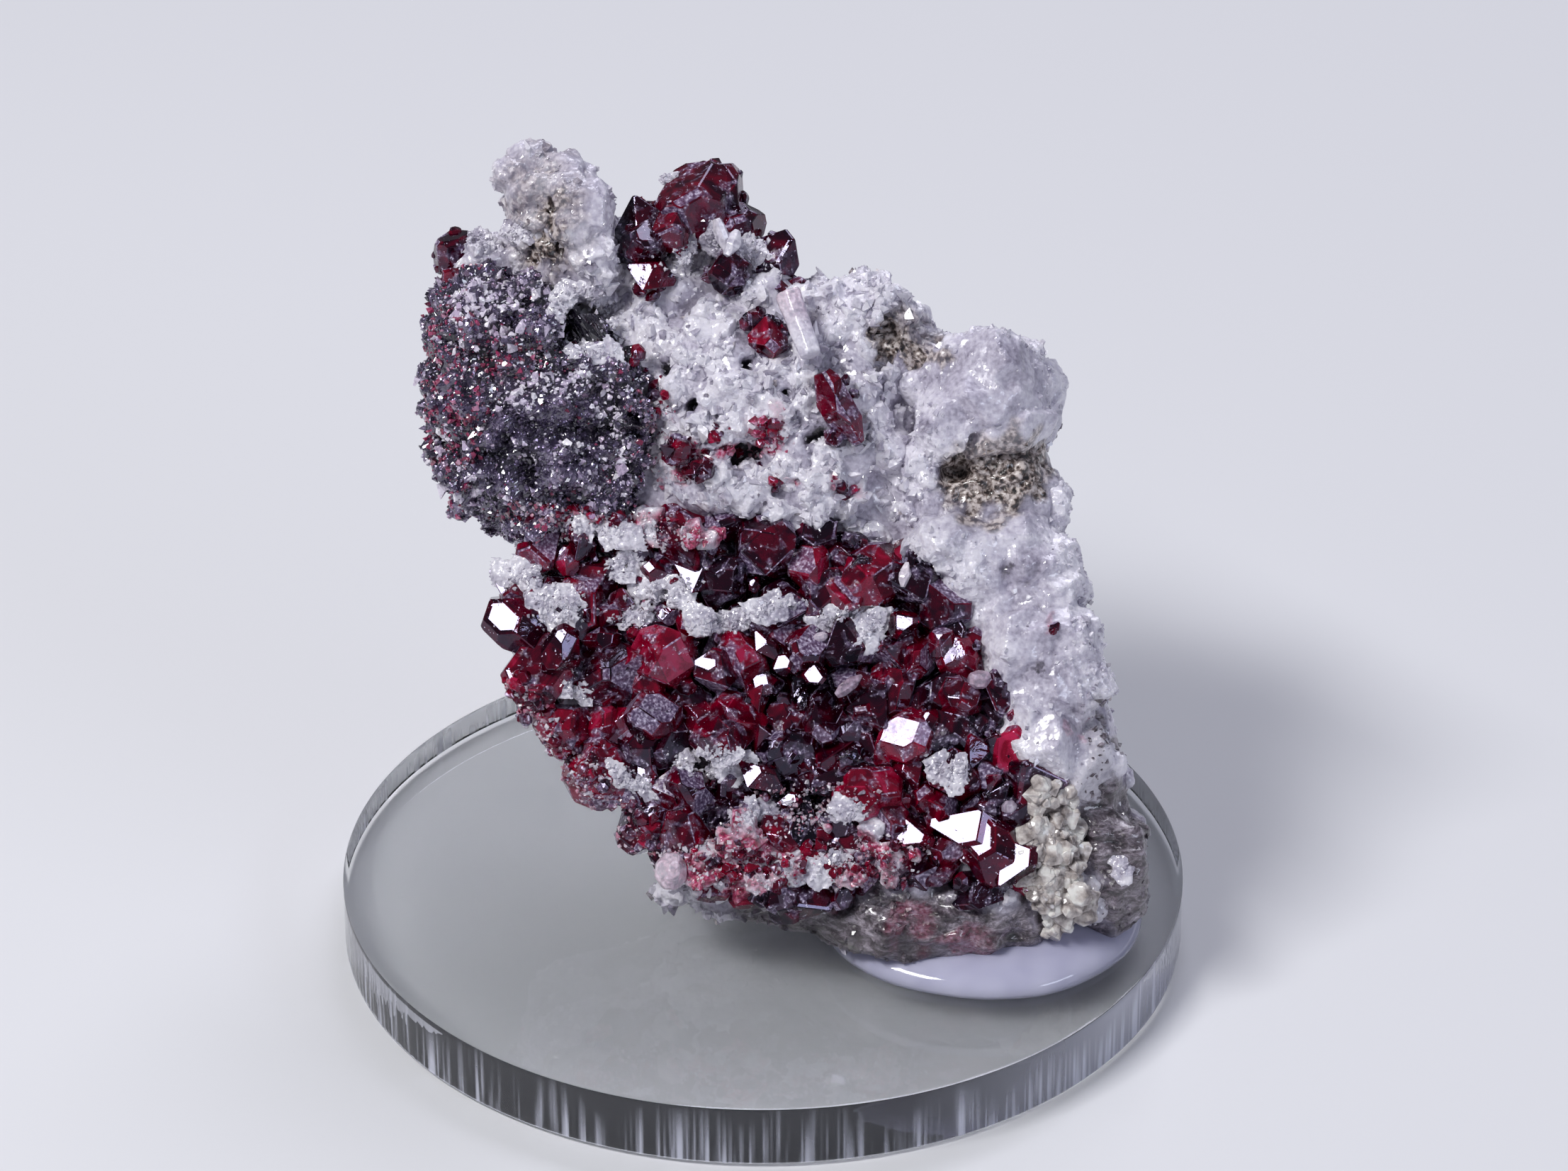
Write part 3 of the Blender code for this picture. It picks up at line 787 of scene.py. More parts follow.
rockHoles = [  # dark holes in the white: place and radius
    (-8.2, 25.2, 0.95), (5.9, 24.7, 0.8), (-0.8, 19.2, 0.5), (2.4, 19.9, 0.4), (1.2, 22.0, 0.35),
    (-9.5, 29.7, 0.3), (-9.7, 30.7, 0.28), (-9.3, 28.8, 0.25), (-5.9, 20.6, 0.5),
    (-3.2, 21.4, 0.35), (-4.6, 23.4, 0.35), (9.0, 18.5, 0.6), (-0.6, 23.4, 0.3), (7.4, 20.6, 0.4),
    (11.2, 14.0, 0.35),
]


stainSettings = {
    "ragged": 1.3,  # how far the stains' edges wander, in mm
    "rust": 0.3, "tan": 0.6,  # how strong these are, next to the pink and the brown
    "drift": [(4.5, 12), (3.0, 13)],  # width and seed of the back's bare and rusty places
}


def stains(points, normals):
    # how much of each stain a place has: the front has those drawn for it, and the back is
    # bare host rock with white and brown on it
    s = stainSettings
    front = np.clip(normals[:, 2] * 4 + 1.2, 0, 1)
    back = 1 - front
    ragged = points.copy()
    for axis in (0, 1):
        ragged[:, axis] += s["ragged"] * cloud(points, 1.0, 10 + axis)
    drawn = ("host", "brown", "pink")
    marks = {name: patch(ragged, rockZones[name], 0.15) * front for name in drawn}
    bare, rusty = [cloud(points, width, seed) for width, seed in s["drift"]]
    for name, values in (
        ("pink", s["rust"] * patch(ragged, rockZones["rust"])),
        ("brown", s["tan"] * patch(ragged, rockZones["tan"], 0.3) * front),
        ("host", back * np.clip(bare * 4 + 0.9 - points[:, 1] * 0.05, 0, 1)),
        ("brown", back * np.clip(rusty * 4 - 0.4, 0, 0.8)),
    ):
        marks[name] = np.maximum(marks[name], values)
    return marks


def holes(points, wider=0.0):  # 1 in the dark holes, with ragged edges
    ragged = [points[:, axis] + 0.5 * cloud(points, 0.7, 60 + axis) for axis in (0, 1)]
    depth = np.zeros(len(points))
    for x, y, radius in rockHoles:
        away = np.hypot(ragged[0] - x, ragged[1] - y) / (radius + wider)
        depth = np.maximum(depth, np.exp(-away ** 4))
    return depth * (points[:, 2] > 2)


coreSettings = {
    "voxel": 0.21,  # mm between the remade mesh's points
    "relief": [(0.45, 1.8, 1, 0.6), (0.15, 0.8, 2, 0.6), (0.18, 1.1, 3)],
    "layers": (0.25, 0.1),  # how high the bare host rock's beds stand, and how far it lies back
    "pits": 1.1,  # depth in the brown stains
    "holes": 1.3,
    # how light it is, from 0 to 1, and what makes it lighter and darker; raised places lighter and
    # low ones, pits and holes darker, are painted shade
    "tone": 0.6, "raised": 0.5, "clouds": 0.2, "front": 0.05, "holeShade": 0.9, "grey": 0.1,
}


def makeCore():
    s = coreSettings
    core = copyOfNode("matrix_rock", "rock_core", s["voxel"])
    mesh = core.data
    points, normals = pointsAndNormals(mesh)
    marks = stains(points, normals)
    hollow = holes(points)
    move = relief(points, s["relief"])
    layers = cloud(points * np.array([0.25, 2.0, 1.0]), 1.0, 9)
    move += marks["host"] * (s["layers"][0] * layers - s["layers"][1])
    pits = np.clip(lumps(points, 0.55, 4) - 0.45, 0, 1)
    move -= marks["brown"] * pits * s["pits"] + s["holes"] * hollow
    setFacePoints(mesh, points + normals * move[:, None])
    # painted shade: the raised relief is made lighter, and pits, holes and other low places darker
    tone = s["tone"] + s["raised"] * move + s["clouds"] * cloud(points, 2.5, 14)
    # the front shows only between the jumble's grains, and down the holes
    tone += s["front"] * np.clip(normals[:, 2] * 2, 0, 1) - s["holeShade"] * hollow
    marks["tone"] = tone - s["grey"] * patch(points, rockZones["grey"])
    for name, values in marks.items():
        setMark(mesh, name, values)
    mesh.shade_smooth()
    return core


rockCore = finishPiece(makeCore(), sugaryCalcite, "matrix_rock")

jumbleSettings = {
    "count": 4600, "sizes": (0.24, 0.85), "voxel": 0.125, "seed": 41,
    "blocks": (1.0, 1.9), "blockShare": 0.2,
    # how far grains are sunk, as shares of their size: all, those on the right, at the outline
    "sink": (-0.65, 0.05), "rightSink": 0.3, "edgeSink": 0.55,
    "topSize": 0.65,  # how much finer the grains at the top are
    "relief": [(0.1, 0.45, 15, 0.6), (0.05, 0.35, 16)],
    "parting": 6.5,  # the left and the right of this are two pieces that run into each other
    # left and right of it: the size past which a grain is a rounded lump, and how much darker
    "rounded": {-1: 0.7, 1: 0.45}, "darker": {-1: -0.15, 1: 0.12},
    # how light the grains are: height over the core and raised relief make them lighter, so the
    # seams and holes carry painted shade
    "tone": 0.98, "height": 0.6, "clouds": 0.25, "raised": 1.5,
    "smooth": 0.4, "holeShade": 0.5, "top": 0.3, "grey": 0.12,
    "stains": {"brown": 0.8, "host": 0.3, "pink": 0.3},
    "knobs": [  # large lumps where they show: place and size
        (-11.2, 32.6, 0.8), (-11.1, 31.4, 0.9), (-10.8, 30.3, 0.7), (-8.7, 31.0, 0.85),
        (-8.1, 30.2, 1.1), (-7.6, 29.2, 1.0), (-7.2, 28.2, 0.9), (11.8, 21.9, 1.7),
        (10.0, 22.0, 1.8), (11.4, 20.7, 1.8), (13.6, 20.6, 1.0), (7.8, 22.8, 0.9),
    ],
}


def makeJumble(name, side):
    # rounded grains of all sizes, grown into one another and pitted
    s = jumbleSettings
    rng = np.random.default_rng(s["seed"])
    points, normals = surfaceSamples(rockCore, s["count"] * 3, rng)
    bare = ~insideOutline(points, bedOutline) & (patch(points, lobeSpots) < 0.5)
    bare &= (normals[:, 2] > -0.15) & (holes(points, 0.35) < 0.4)
    for zone in ("host", "clear"):
        bare &= patch(points, rockZones[zone]) < 0.5
    points, normals = points[bare][:s["count"]], normals[bare][:s["count"]]
    blocky, brown = [patch(points, rockZones[zone]) for zone in ("blocky", "brown")]
    sizes = grainSizes(rng, len(points), s["sizes"], 2)
    big = (blocky > 0.3) & (brown < 0.05) & (rng.random(len(points)) < s["blockShare"])
    sizes[big] = rng.uniform(*s["blocks"], big.sum())
    clumps = (0.45 + 0.9 * cloud(points, 1.4, 5)) * (1 - 0.75 * blocky)
    keep = (rng.random(len(points)) < clumps) | big
    keep &= rng.random(len(points)) > brown * 1.2
    points, normals, sizes = points[keep], normals[keep], sizes[keep]
    sizes[points[:, 1] > 28] *= s["topSize"]
    for x, y, size in s["knobs"]:
        away = np.hypot(points[:, 0] - x, points[:, 1] - y) + 9 * (normals[:, 2] < 0.3)
        sizes[np.argmin(away)] = size
    sink = rng.uniform(*s["sink"], len(sizes))
    sink -= s["rightSink"] * ((points[:, 0] > 9) & (points[:, 1] > 15))
    # the outline stays the core's
    sink -= s["edgeSink"] * np.clip(1.1 - 1.8 * normals[:, 2], 0, 1) * (sizes > 0.5)
    points = points + normals * (sizes * sink)[:, None]
    mine = (points[:, 0] - s["parting"]) * side > 0
    points, sizes = points[mine], sizes[mine]
    copies = scatter(points, sizes, blockForms, s["seed"] + 1, {"tone": sizes})
    copies["form"] += len(blockForms) * (sizes > s["rounded"][side])
    jumble = joinedCopies(name, blockForms + lumpForms, copies, 1)
    fuse(jumble, s["voxel"], smooth=2)
    mesh = jumble.data
    points, normals = pointsAndNormals(mesh)
    smooth = patch(points, rockZones["blocky"])
    move = relief(points, s["relief"]) * (1 - 0.7 * smooth)
    setFacePoints(mesh, points + normals * move[:, None])
    # painted shade: grains lying low against the core or in the relief, and those in the holes, are
    # made darker
    tone = s["tone"] + s["height"] * np.clip(heightOver(points, rockCore), -0.3, 0.3)
    tone += s["clouds"] * cloud(points, 1.8, 17) + s["raised"] * move
    tone -= s["smooth"] * smooth + s["holeShade"] * holes(points) + s["darker"][side]
    tone -= s["top"] * np.clip(points[:, 1] - 27, 0, 1)
    setMark(mesh, "tone", tone - s["grey"] * patch(points, rockZones["grey"]))
    setMark(mesh, "milky", 0.5 * smooth)
    for stain, values in stains(points, normals).items():
        setMark(mesh, stain, values * s["stains"][stain])
    mesh.shade_flat()
    return jumble


jumbles = [
    finishPiece(makeJumble(name, side), sugaryCalcite)
    for name, side in (("calcite_jumble", -1), ("calcite_ridge", 1))
]


grainSettings = {  # how many, their sizes and the seed
    "sugar_grains": (15000, (0.06, 0.26), 21),
    "rock_grains": (10000, (0.07, 0.2), 23),
}


def makeGrains(name, bases):
    # sugary grains, which gather in clouds and are finer on the right and at the top
    count, sizes, seed = grainSettings[name]
    rng = np.random.default_rng(seed)
    samples = [surfaceSamples(base, count // len(bases), rng) for base in bases]
    points, normals = [np.concatenate(part) for part in zip(*samples)]
    count = len(points)
    marks = stains(points, normals)
    keep = rng.random(count) < 0.6 + 0.8 * cloud(points, 1.2, seed)
    keep &= rng.random(count) > marks["brown"] * 0.6
    hidden = insideOutline(points, bedOutline) & (points[:, 2] < 9)
    keep &= ~((hidden | (patch(points, lobeSpots) > 0.6)) & (normals[:, 2] > 0))
    keep &= rng.random(count) > 0.85 * patch(points, rockZones["blocky"])
    points, normals = points[keep], normals[keep]
    marks = {mark: values[keep] for mark, values in marks.items()}
    sizes = grainSizes(rng, len(points), sizes, 2.5)
    sizes *= 1 - 0.4 * (points[:, 0] > 7) - 0.3 * (points[:, 1] > 28)
    marks["tone"] = np.clip(rng.normal(0.85, 0.2, len(points)), 0.1, 1.1)
    points = points - normals * (sizes * 0.2)[:, None]
    return joinedCopies(name, chipForms, scatter(points, sizes, chipForms, seed + 1, marks), seed)


finishPiece(makeGrains("sugar_grains", jumbles), sugaryCalcite)
finishPiece(makeGrains("rock_grains", [rockCore]), sugaryCalcite)

# The dark crust on the left

lobeZones = {
    "white": [
        (-10.0, 22.2, 2.1, 0.7, 15), (-8.4, 25.8, 1.3, 0.9, 0), (-12.2, 26.6, 2.2, 0.9, 10),
        (-7.0, 20.6, 0.7, 2.8, 10),
    ],
    "red": [(-14.2, 22.5, 1.8, 4.4, 0), (-12.2, 23.4, 2.2, 1.6, 0), (-9.5, 16.2, 2.4, 0.6, -8)],
    "dark": [(-10.2, 19.6, 3.2, 2.0, 0), (-9.4, 24.6, 1.0, 0.6, 0)],
    # where more white grains stand in for glitter: painted highlights
    "bright": [
        (-8.6, 18.2, 2.6, 1.2, -20), (-12.4, 25.4, 2.2, 1.4, 0),
        (-14.0, 18.4, 0.8, 2.0, 15),
    ],
}

crustSettings = {
    "voxel": 0.13,
    "relief": [(1.4, 2.1, 5, 0.6), (1.0, 1.1, 6, 0.65), (0.3, 0.8, 7), (0.2, 0.4, 8, 0.6)],
    "holes": 2.2,
    "grains": 15000,
    "sizes": (0.04, 0.13),
    "metallic": (0, 0.62), "red": (0.66, 0.87), "pale": (0.89, 1),  # tones
}


def makeCrust():
    s = crustSettings
    crust = copyOfNode("dark_crust", "dark_crust_body", s["voxel"])
    points, move = roughen(crust, s["relief"], hollows=s["holes"])
    rng = np.random.default_rng(31)
    # painted shade: raised lumps lighter, seams and holes darker
    tone = 0.25 + 0.3 * move + rng.uniform(-0.1, 0.1, len(points))
    setMark(crust.data, "tone", np.clip(tone, 0, 0.6))
    setMark(crust.data, "facet", rng.random(len(crust.data.polygons)), "FACE")
    crust.data.shade_flat()
    return crust


crustBody = finishPiece(makeCrust(), darkCrust, "dark_crust")


def makeCrustGrains():
    s = crustSettings
    rng = np.random.default_rng(32)
    points, normals = surfaceSamples(crustBody, s["grains"], rng)
    kept = (normals[:, 2] > -0.4) & (holes(points) < 0.4)
    points, normals = points[kept], normals[kept]
    count = len(points)
    sizes = grainSizes(rng, count, s["sizes"], 3)
    drift = cloud(points, 0.8, 8)
    zones = {name: patch(points, spots) for name, spots in lobeZones.items()}
    # painted shade: grains in the seams between the crust's lumps are made darker
    hollow = 1 - 0.5 * lumps(points, 2.1, 5) - 0.5 * lumps(points, 1.1, 6)
    tones = rng.uniform(*s["metallic"], count) * (1.85 - 0.5 * zones["dark"] - 1.5 * hollow)
    tones = np.clip(tones, *s["metallic"])
    red = rng.random(count) < 0.03 + 0.45 * zones["red"] + np.clip(drift * 3 - 1, 0, 0.6)
    red &= zones["dark"] < 0.8
    tones[red] = rng.uniform(*s["red"], red.sum())
    # white grains: real white crystals in the white zones, while the few spread everywhere and the
    # extra, larger ones in the bright zones are painted highlights for the glitter
    white = zones["white"] * np.clip(0.9 + 2 * drift, 0, 1)
    bright = zones["bright"] * np.clip(0.4 - 2 * drift, 0, 1)
    pale = rng.random(count) < 0.95 * white + 0.04 + 0.35 * bright
    tones[pale] = rng.uniform(*s["pale"], pale.sum())
    sizes[pale] *= 1.25
    sizes[pale & (bright > 0.1) & (rng.random(count) < 0.2)] *= 1.6
    points = points + normals * (sizes * 0.25)[:, None]
    copies = scatter(points, sizes, chipForms, 33, {"tone": tones})
    return joinedCopies("crust_grains", chipForms, copies, 34)


finishPiece(makeCrustGrains(), darkCrust)

# The red crystals on the front

bedSettings = {
    "voxel": 0.18,
    "relief": [(0.25, 0.9, 18, 0.6), (0.2, 0.6, 19)],
    "sink": 0.45,  # how far the bed lies back behind the crystals' feet
    "front": 8.8,
    "growth": 1.25,  # all the standing crystals' size
    "layers": [  # spacing, least and greatest size, height over the bed, of three generations
        (1.7, 1.15, 1.7, 0.35), (1.8, 0.6, 1.05, 0.6), (2.0, 0.2, 0.5, 1.0),
    ],
    "rows": 0.87, "stray": 0.36,  # in spacings: between rows, and how far places move about
    "uneven": 0.35,  # mm in and out
    "gap": 0.9,  # kept from the middles of the crystals that stand out
    "lightest": 0.9, "squash": 0.3, "seed": 5,
}
# crystals that stand out: form, place, size, turn, and tone from black to crimson; a single
# number turns a crystal about the way that mirrors the key light
standOuts = [
    (7, (-11.1, 11.4, 9.9), (0.9, 1.7, 1.2), 50, 0.25),
    (6, (-9.3, 10.1, 11.0), (0.9, 1.3, 0.9), -70, 0.3),
    (4, (-10.2, 9.0, 9.8), (1.5, 1.6, 1.4), (20, 40, 10), 0.6),
    (1, (-4.5, 9.9, 9.9), (1.5, 1.4, 1.2), (30, -20, 15), 0.95),
    (3, (-5.0, 7.2, 9.8), (1.2, 1.3, 1.2), (10, 30, 60), 0.5),
    (2, (-2.7, 13.9, 9.7), (0.6, 1.3, 1.2), 40, 0.05),
    (6, (-1.9, 13.4, 9.5), (1.2, 1.3, 1.2), (20, 50, 10), 0.05),
    (6, (-1.8, 16.0, 8.9), (1.3, 1.0, 1.0), (45, 10, 20), 0.05),
    (7, (2.4, 15.4, 9.0), (1.2, 1.0, 1.1), (20, -30, 5), 0.1),
    (1, (2.2, 14.0, 9.6), (0.9, 1.0, 1.0), (20, 10, 5), 0.9),
    (6, (5.1, 13.6, 9.5), (1.7, 1.3, 1.2), (-20, 25, 35), 0.75),
    (0, (8.4, 12.4, 9.2), (1.2, 1.3, 1.2), (35, 15, 50), 0.35),
    (5, (-2.4, 9.6, 10.3), (0.5, 0.6, 0.5), 70, 0.4),
    (2, (-2.0, 9.2, 9.8), (1.2, 1.2, 1.1), (40, 15, 10), 0.4),
    (2, (0.2, 10.4, 10.4), (0.35, 0.75, 0.5), 10, 0.3),
    (0, (0.9, 9.5, 10.4), (0.45, 0.4, 0.5), 100, 0.3),
    (0, (2.4, 9.1, 10.4), (0.65, 0.4, 0.5), -35, 0.3),
    (3, (2.0, 10.0, 9.7), (1.1, 1.2, 1.1), (60, 25, 0), 0.3),
    (4, (6.5, 11.4, 10.2), (0.85, 0.5, 0.7), 5, 0.3),
    (1, (7.7, 7.0, 10.3), (0.5, 0.4, 0.5), 30, 0.3),
    (0, (1.3, 3.2, 10.2), (0.4, 0.5, 0.4), 80, 0.3),
    (7, (-1.8, 6.2, 9.9), (1.3, 1.1, 1.1), (15, 45, 25), 0.6),
    (3, (6.8, 6.2, 9.9), (1.3, 1.3, 1.2), (-25, 10, 70), 0.8),
    (6, (9.0, 8.0, 9.6), (1.1, 1.2, 1.1), (60, 20, -30), 0.6),
    (1, (11.9, 5.6, 9.3), (1.2, 1.2, 1.1), (35, 15, 50), 0.95),
    (2, (-0.1, 4.4, 10.1), (0.6, 1.1, 0.8), 25, 0.2),
    (7, (4.9, 3.5, 9.7), (1.4, 1.3, 1.2), (10, -10, 0), 0.9),
    (5, (9.6, 1.9, 10.1), (0.8, 1.5, 0.9), 60, 0.3),
    (7, (10.8, 0.9, 10.1), (0.8, 1.7, 1.2), 5, 0.4),
    (0, (11.6, 0.4, 10.1), (0.8, 1.2, 1.1), 130, 0.4),
    (4, (6.8, 1.6, 9.7), (1.3, 0.8, 0.9), -20, 0.6),
    (3, (-3.4, 1.8, 9.5), (1.2, 1.4, 1.1), (15, 45, 25), 0.5),
    (6, (0.8, 1.6, 9.5), (1.3, 1.1, 1.0), (60, 20, -30), 0.7),
    (1, (12.4, -0.6, 9.2), (0.8, 0.6, 0.7), (30, 20, 10), 0.95),
    (0, (4.0, 10.6, 9.6), (1.2, 1.3, 1.1), (50, 20, 40), 0.2),
    (2, (-7.4, 13.6, 9.2), (1.0, 1.1, 1.0), (15, 25, 70), 0.3),
]


def makeBed():
    # the crust that the crystals stand on, a dark red crust kept darker than them as painted shade
    # in the gaps between them
    s = bedSettings
    bed = copyOfNode("front_crystals", "crystal_bed", s["voxel"])
    points, _ = roughen(bed, s["relief"], s["sink"])
    # painted shade: its tone is kept low, so the gaps between the crystals read black
    setMark(bed.data, "tone", np.clip(0.1 + 0.5 * cloud(points, 1.2, 20), 0, 0.5))
    setMark(bed.data, "facet", np.clip(0.7 + cloud(points, 0.8, 21), 0, 1))
    bed.data.shade_smooth()
    return bed


crystalBed = finishPiece(makeBed(), redCuprite, "front_crystals")


def makeFrontCrystals():
    s = bedSettings
    rng = np.random.default_rng(s["seed"])
    taken = np.array([entry[1] for entry in standOuts])
    outline = np.array(bedOutline)
    grown = [
        (form, at, tuple(side * s["growth"] for side in size), turn, tone)
        for form, at, size, turn, tone in standOuts
    ]
    sets = [handPlaced(grown, mirrorNormal)]
    for index, (spacing, least, most, height) in enumerate(s["layers"]):
        # rows of a honeycomb, each place moved about a little
        x, y = np.meshgrid(
            np.arange(outline[:, 0].min(), outline[:, 0].max(), spacing),
            np.arange(outline[:, 1].min(), outline[:, 1].max(), spacing * s["rows"]),
        )
        x[::2] += spacing / 2
        points = np.stack([x.ravel(), y.ravel(), np.full(x.size, s["front"] + height)], 1)
        points[:, :2] += rng.uniform(-s["stray"], s["stray"], (len(points), 2)) * spacing
        points[:, 2] += rng.uniform(-s["uneven"], s["uneven"], len(points))
        points = points[insideOutline(points, bedOutline)]
        gap = np.linalg.norm(points[:, None, :2] - taken[None, :, :2], axis=2).min(1)
        points = points[gap > s["gap"]]
        sizes = rng.uniform(least, most, len(points))
        marks = {"tone": rng.random(len(points)) ** 1.6 * s["lightest"]}
        seed = s["seed"] + index
        sets.append(scatter(points, sizes, crystalForms, seed, marks, s["squash"]))
    return joinedCopies("front_red_crystals", crystalForms, together(*sets), 7)


frontCrystals = finishPiece(makeFrontCrystals(), redCuprite)

# The reds at the top and those that stand alone: form, place, size, turn, tone

topEntries = [
    (3, (-3.0, 30.7, 8.0), (2.2, 2.3, 2.0), (35, 10, 30), 0.5),
    (1, (-2.2, 31.4, 7.4), (1.8, 1.6, 1.5), (10, 40, 10), 0.35),
    (0, (-5.4, 29.7, 8.1), (1.5, 1.7, 1.4), (20, -15, 10), 0.1),
    (3, (-5.4, 28.9, 9.0), (1.3, 1.4, 1.2), (50, 25, 0), 0.15),
    (2, (-5.2, 27.6, 9.2), (0.9, 1.3, 1.2), 40, 0.4),
    (6, (-1.2, 29.9, 7.6), (1.4, 1.5, 1.4), (40, 10, 20), 0.4),
    (3, (-1.5, 27.8, 9.0), (1.2, 1.2, 1.1), (10, 30, 60), 0.3),
    (4, (0.5, 28.2, 7.6), (1.3, 1.7, 1.2), (30, 5, -30), 0.2),
    (5, (0.9, 27.0, 8.0), (1.0, 0.7, 1.0), (10, 5, -10), 0.05),
    (1, (-4.2, 29.6, 9.2), (1.0, 1.1, 1.0), (-10, 25, 15), 0.45),
    (7, (-2.4, 31.9, 6.8), (1.2, 1.2, 1.2), (35, 0, 20), 0.25),
]
loneEntries = {
    "red_crystal_middle": [(1, (3.6, 21.3, 11.0), (0.95, 2.1, 1.0), (10, 0, 30), 0.55)],
    "red_crystal_upper": [
        (0, (0.3, 24.6, 10.3), (1.0, 1.0, 1.0), (20, 10, 5), 0.7),
        (3, (-0.3, 25.4, 10.1), (0.5, 0.7, 0.5), (20, 10, 5), 0.4),
    ],
    "red_crystal_lower": [
        (6, (-3.8, 19.3, 11.2), (0.6, 0.8, 0.7), (25, 35, 5), 0.5),
        (2, (-2.9, 18.6, 11.2), (0.5, 0.5, 0.5), (5, 20, 60), 0.4),
    ],
    "red_crystal_corner": [
        (3, (-14.3, 28.5, 7.4), (1.15, 1.5, 1.1), (25, 15, 12), 0.35),
        (4, (-14.2, 27.3, 7.9), (0.8, 0.9, 0.8), (35, 5, 40), 0.6),
    ],
}

crowdSettings = {"count": 10, "reach": 0.78, "flat": 0.6, "sizes": (0.2, 0.5), "darkest": 0.5}


def makeRedGroup(name, entries, seed):
    # small crystals crowd round the feet of the large ones
    s = crowdSettings
    rng = np.random.default_rng(seed)
    points = []
    for _, place, size, _, _ in entries:
        around = rng.normal(size=(s["count"], 3))
        around /= np.linalg.norm(around, axis=1)[:, None]
        around[:, 2] = -abs(around[:, 2]) * s["flat"]
        points.append(np.array(place) + around * np.array(size) * s["reach"])
    points = np.concatenate(points)
    tones = {"tone": rng.random(len(points)) * s["darkest"]}
    crowd = scatter(points, rng.uniform(*s["sizes"], len(points)), crystalForms, seed, tones)
    return joinedCopies(name, topForms, together(handPlaced(entries, mirrorNormal), crowd), seed)


topReds = finishPiece(makeRedGroup("top_red_crystals", topEntries, 61), redCuprite, "top_crystals")
for number, (node, entries) in enumerate(loneEntries.items()):
    finishPiece(makeRedGroup(node + "_group", entries, 62 + number), redCuprite, node)

# Calcite that grew over the reds, in ragged sheets: place, half sizes, turn

draped = [
    (-11.0, 13.6, 1.0, 0.6, 10), (-9.5, 12.2, 1.1, 0.9, 0), (-6.5, 14.1, 0.9, 0.6, 20),
    (-4.5, 12.8, 1.4, 0.6, 10), (-5.8, 11.7, 1.0, 0.4, 10), (-1.8, 11.5, 1.3, 0.5, 12),
    (0.1, 12.0, 1.6, 0.4, 12), (2.9, 11.6, 0.7, 0.4, 10), (-8.6, 8.2, 0.7, 0.5, 0),
    (-2.3, 5.1, 1.6, 0.6, 5), (-6.1, 4.2, 1.2, 0.45, -25), (3.8, 11.9, 1.0, 0.3, 8),
    (5.1, 11.3, 1.1, 0.32, 42), (8.5, 4.6, 0.8, 0.6, 0), (4.1, 2.7, 0.75, 0.4, 20),
    (3.1, 0.3, 1.0, 0.45, 20), (-7.6, 15.8, 1.6, 0.4, -4), (-0.6, 2.6, 0.8, 0.35, 15),
    (-3.6, 28.2, 0.9, 0.7, 10), (-0.6, 28.8, 1.0, 0.6, -30), (-4.6, 32.3, 0.6, 0.4, 0),
    (-2.2, 29.4, 0.5, 0.8, 10), (-13.2, 29.4, 1.0, 0.6, -10), (-11.4, 29.6, 0.8, 0.5, 0),
    (-9.3, 26.0, 0.4, 0.7, 20), (-8.2, 26.7, 1.0, 0.4, 0), (-7.0, 25.8, 0.5, 0.8, -10),
    (-8.0, 24.0, 1.0, 0.35, -10), (16.7, 0.3, 0.18, 0.4, 10),
]
# what is spread: how many to the spots' area, their sizes and the seed
drapedSettings = {
    "blocks": (20, (0.35, 0.8), 51), "edges": (50, (0.12, 0.24), 50),
    "voxel": 0.08, "flatness": 0.18, "seed": 52,
}
rosySettings = {
    "blocks": (22, (0.25, 0.65), 54), "raised": 0.75,
    "voxel": 0.09, "flatness": 0.9, "seed": 55,
}
smallSettings = {
    "reds": (18, (0.08, 0.42), 71), "pinks": (80, (0.035, 0.11), 75),
    "frost": (150, (0.04, 0.11), 79),
}


def spread(spots, perArea, sizes, seed, pieces, raised=0.0, soft=0.15):
    # places within spots on the front, standing on the pieces there, and their sizes
    fewest, lowest = 6, 4.5  # places in a spot, and mm out from the face's plane
    rng = np.random.default_rng(seed)
    places = []
    for x, y, halfX, halfY, turn in spots:
        count = max(fewest, int(perArea * halfX * halfY))
        around = rng.uniform(0, 2 * math.pi, count)
        reach = np.sqrt(rng.random(count)) * (1 + rng.normal(0, soft, count))
        within = np.stack([np.cos(around), np.sin(around)], 1) * reach[:, None] * (halfX, halfY)
        spin = np.array(Matrix.Rotation(math.radians(turn), 2))
        places.append(within @ spin.T + np.array((x, y)))
    places = np.concatenate(places)
    sizes = grainSizes(rng, len(places), sizes, 2)
    heights = frontHeights(places, pieces)
    there = heights > lowest
    points = np.column_stack([places, heights + raised])
    return points[there], sizes[there]


def fusedSheet(name, points, sizes, s):
    # grains that have grown together into one sheet
    seed = s["seed"]
    copies = scatter(points, sizes, blockForms, seed, {"tone": sizes})
    copies["turn"][:, 2] *= s["flatness"]
    piece = joinedCopies(name, blockForms, copies, seed + 1)
    fuse(piece, s["voxel"])
    points, move = roughen(piece, [(0.06, 0.35, seed + 2, 0.6), (0.05, 0.2, seed + 3)])
    # painted shade: raised places lighter, low ones darker
    setMark(piece.data, "tone", 0.9 + 0.6 * cloud(points, 0.8, seed + 4) + 1.5 * move)
    piece.data.shade_flat()
    return piece


def makeDraped():
    # blocks in the middle of each sheet, and finer ones along its ragged edge
    s = drapedSettings
    pieces = (frontCrystals, crystalBed, topReds, crustBody, rockCore)
    blocks = spread(draped, *s["blocks"], pieces, soft=0.1)
    edges = spread(draped, *s["edges"], pieces, soft=0.3)
    points, sizes = [np.concatenate(part) for part in zip(blocks, edges)]
    return fusedSheet("draped_calcite", points, sizes, s)


drapedCalcite = finishPiece(makeDraped(), sugaryCalcite)

# The rosy crust along the foot and the left edge of the reds, mottled white to crimson

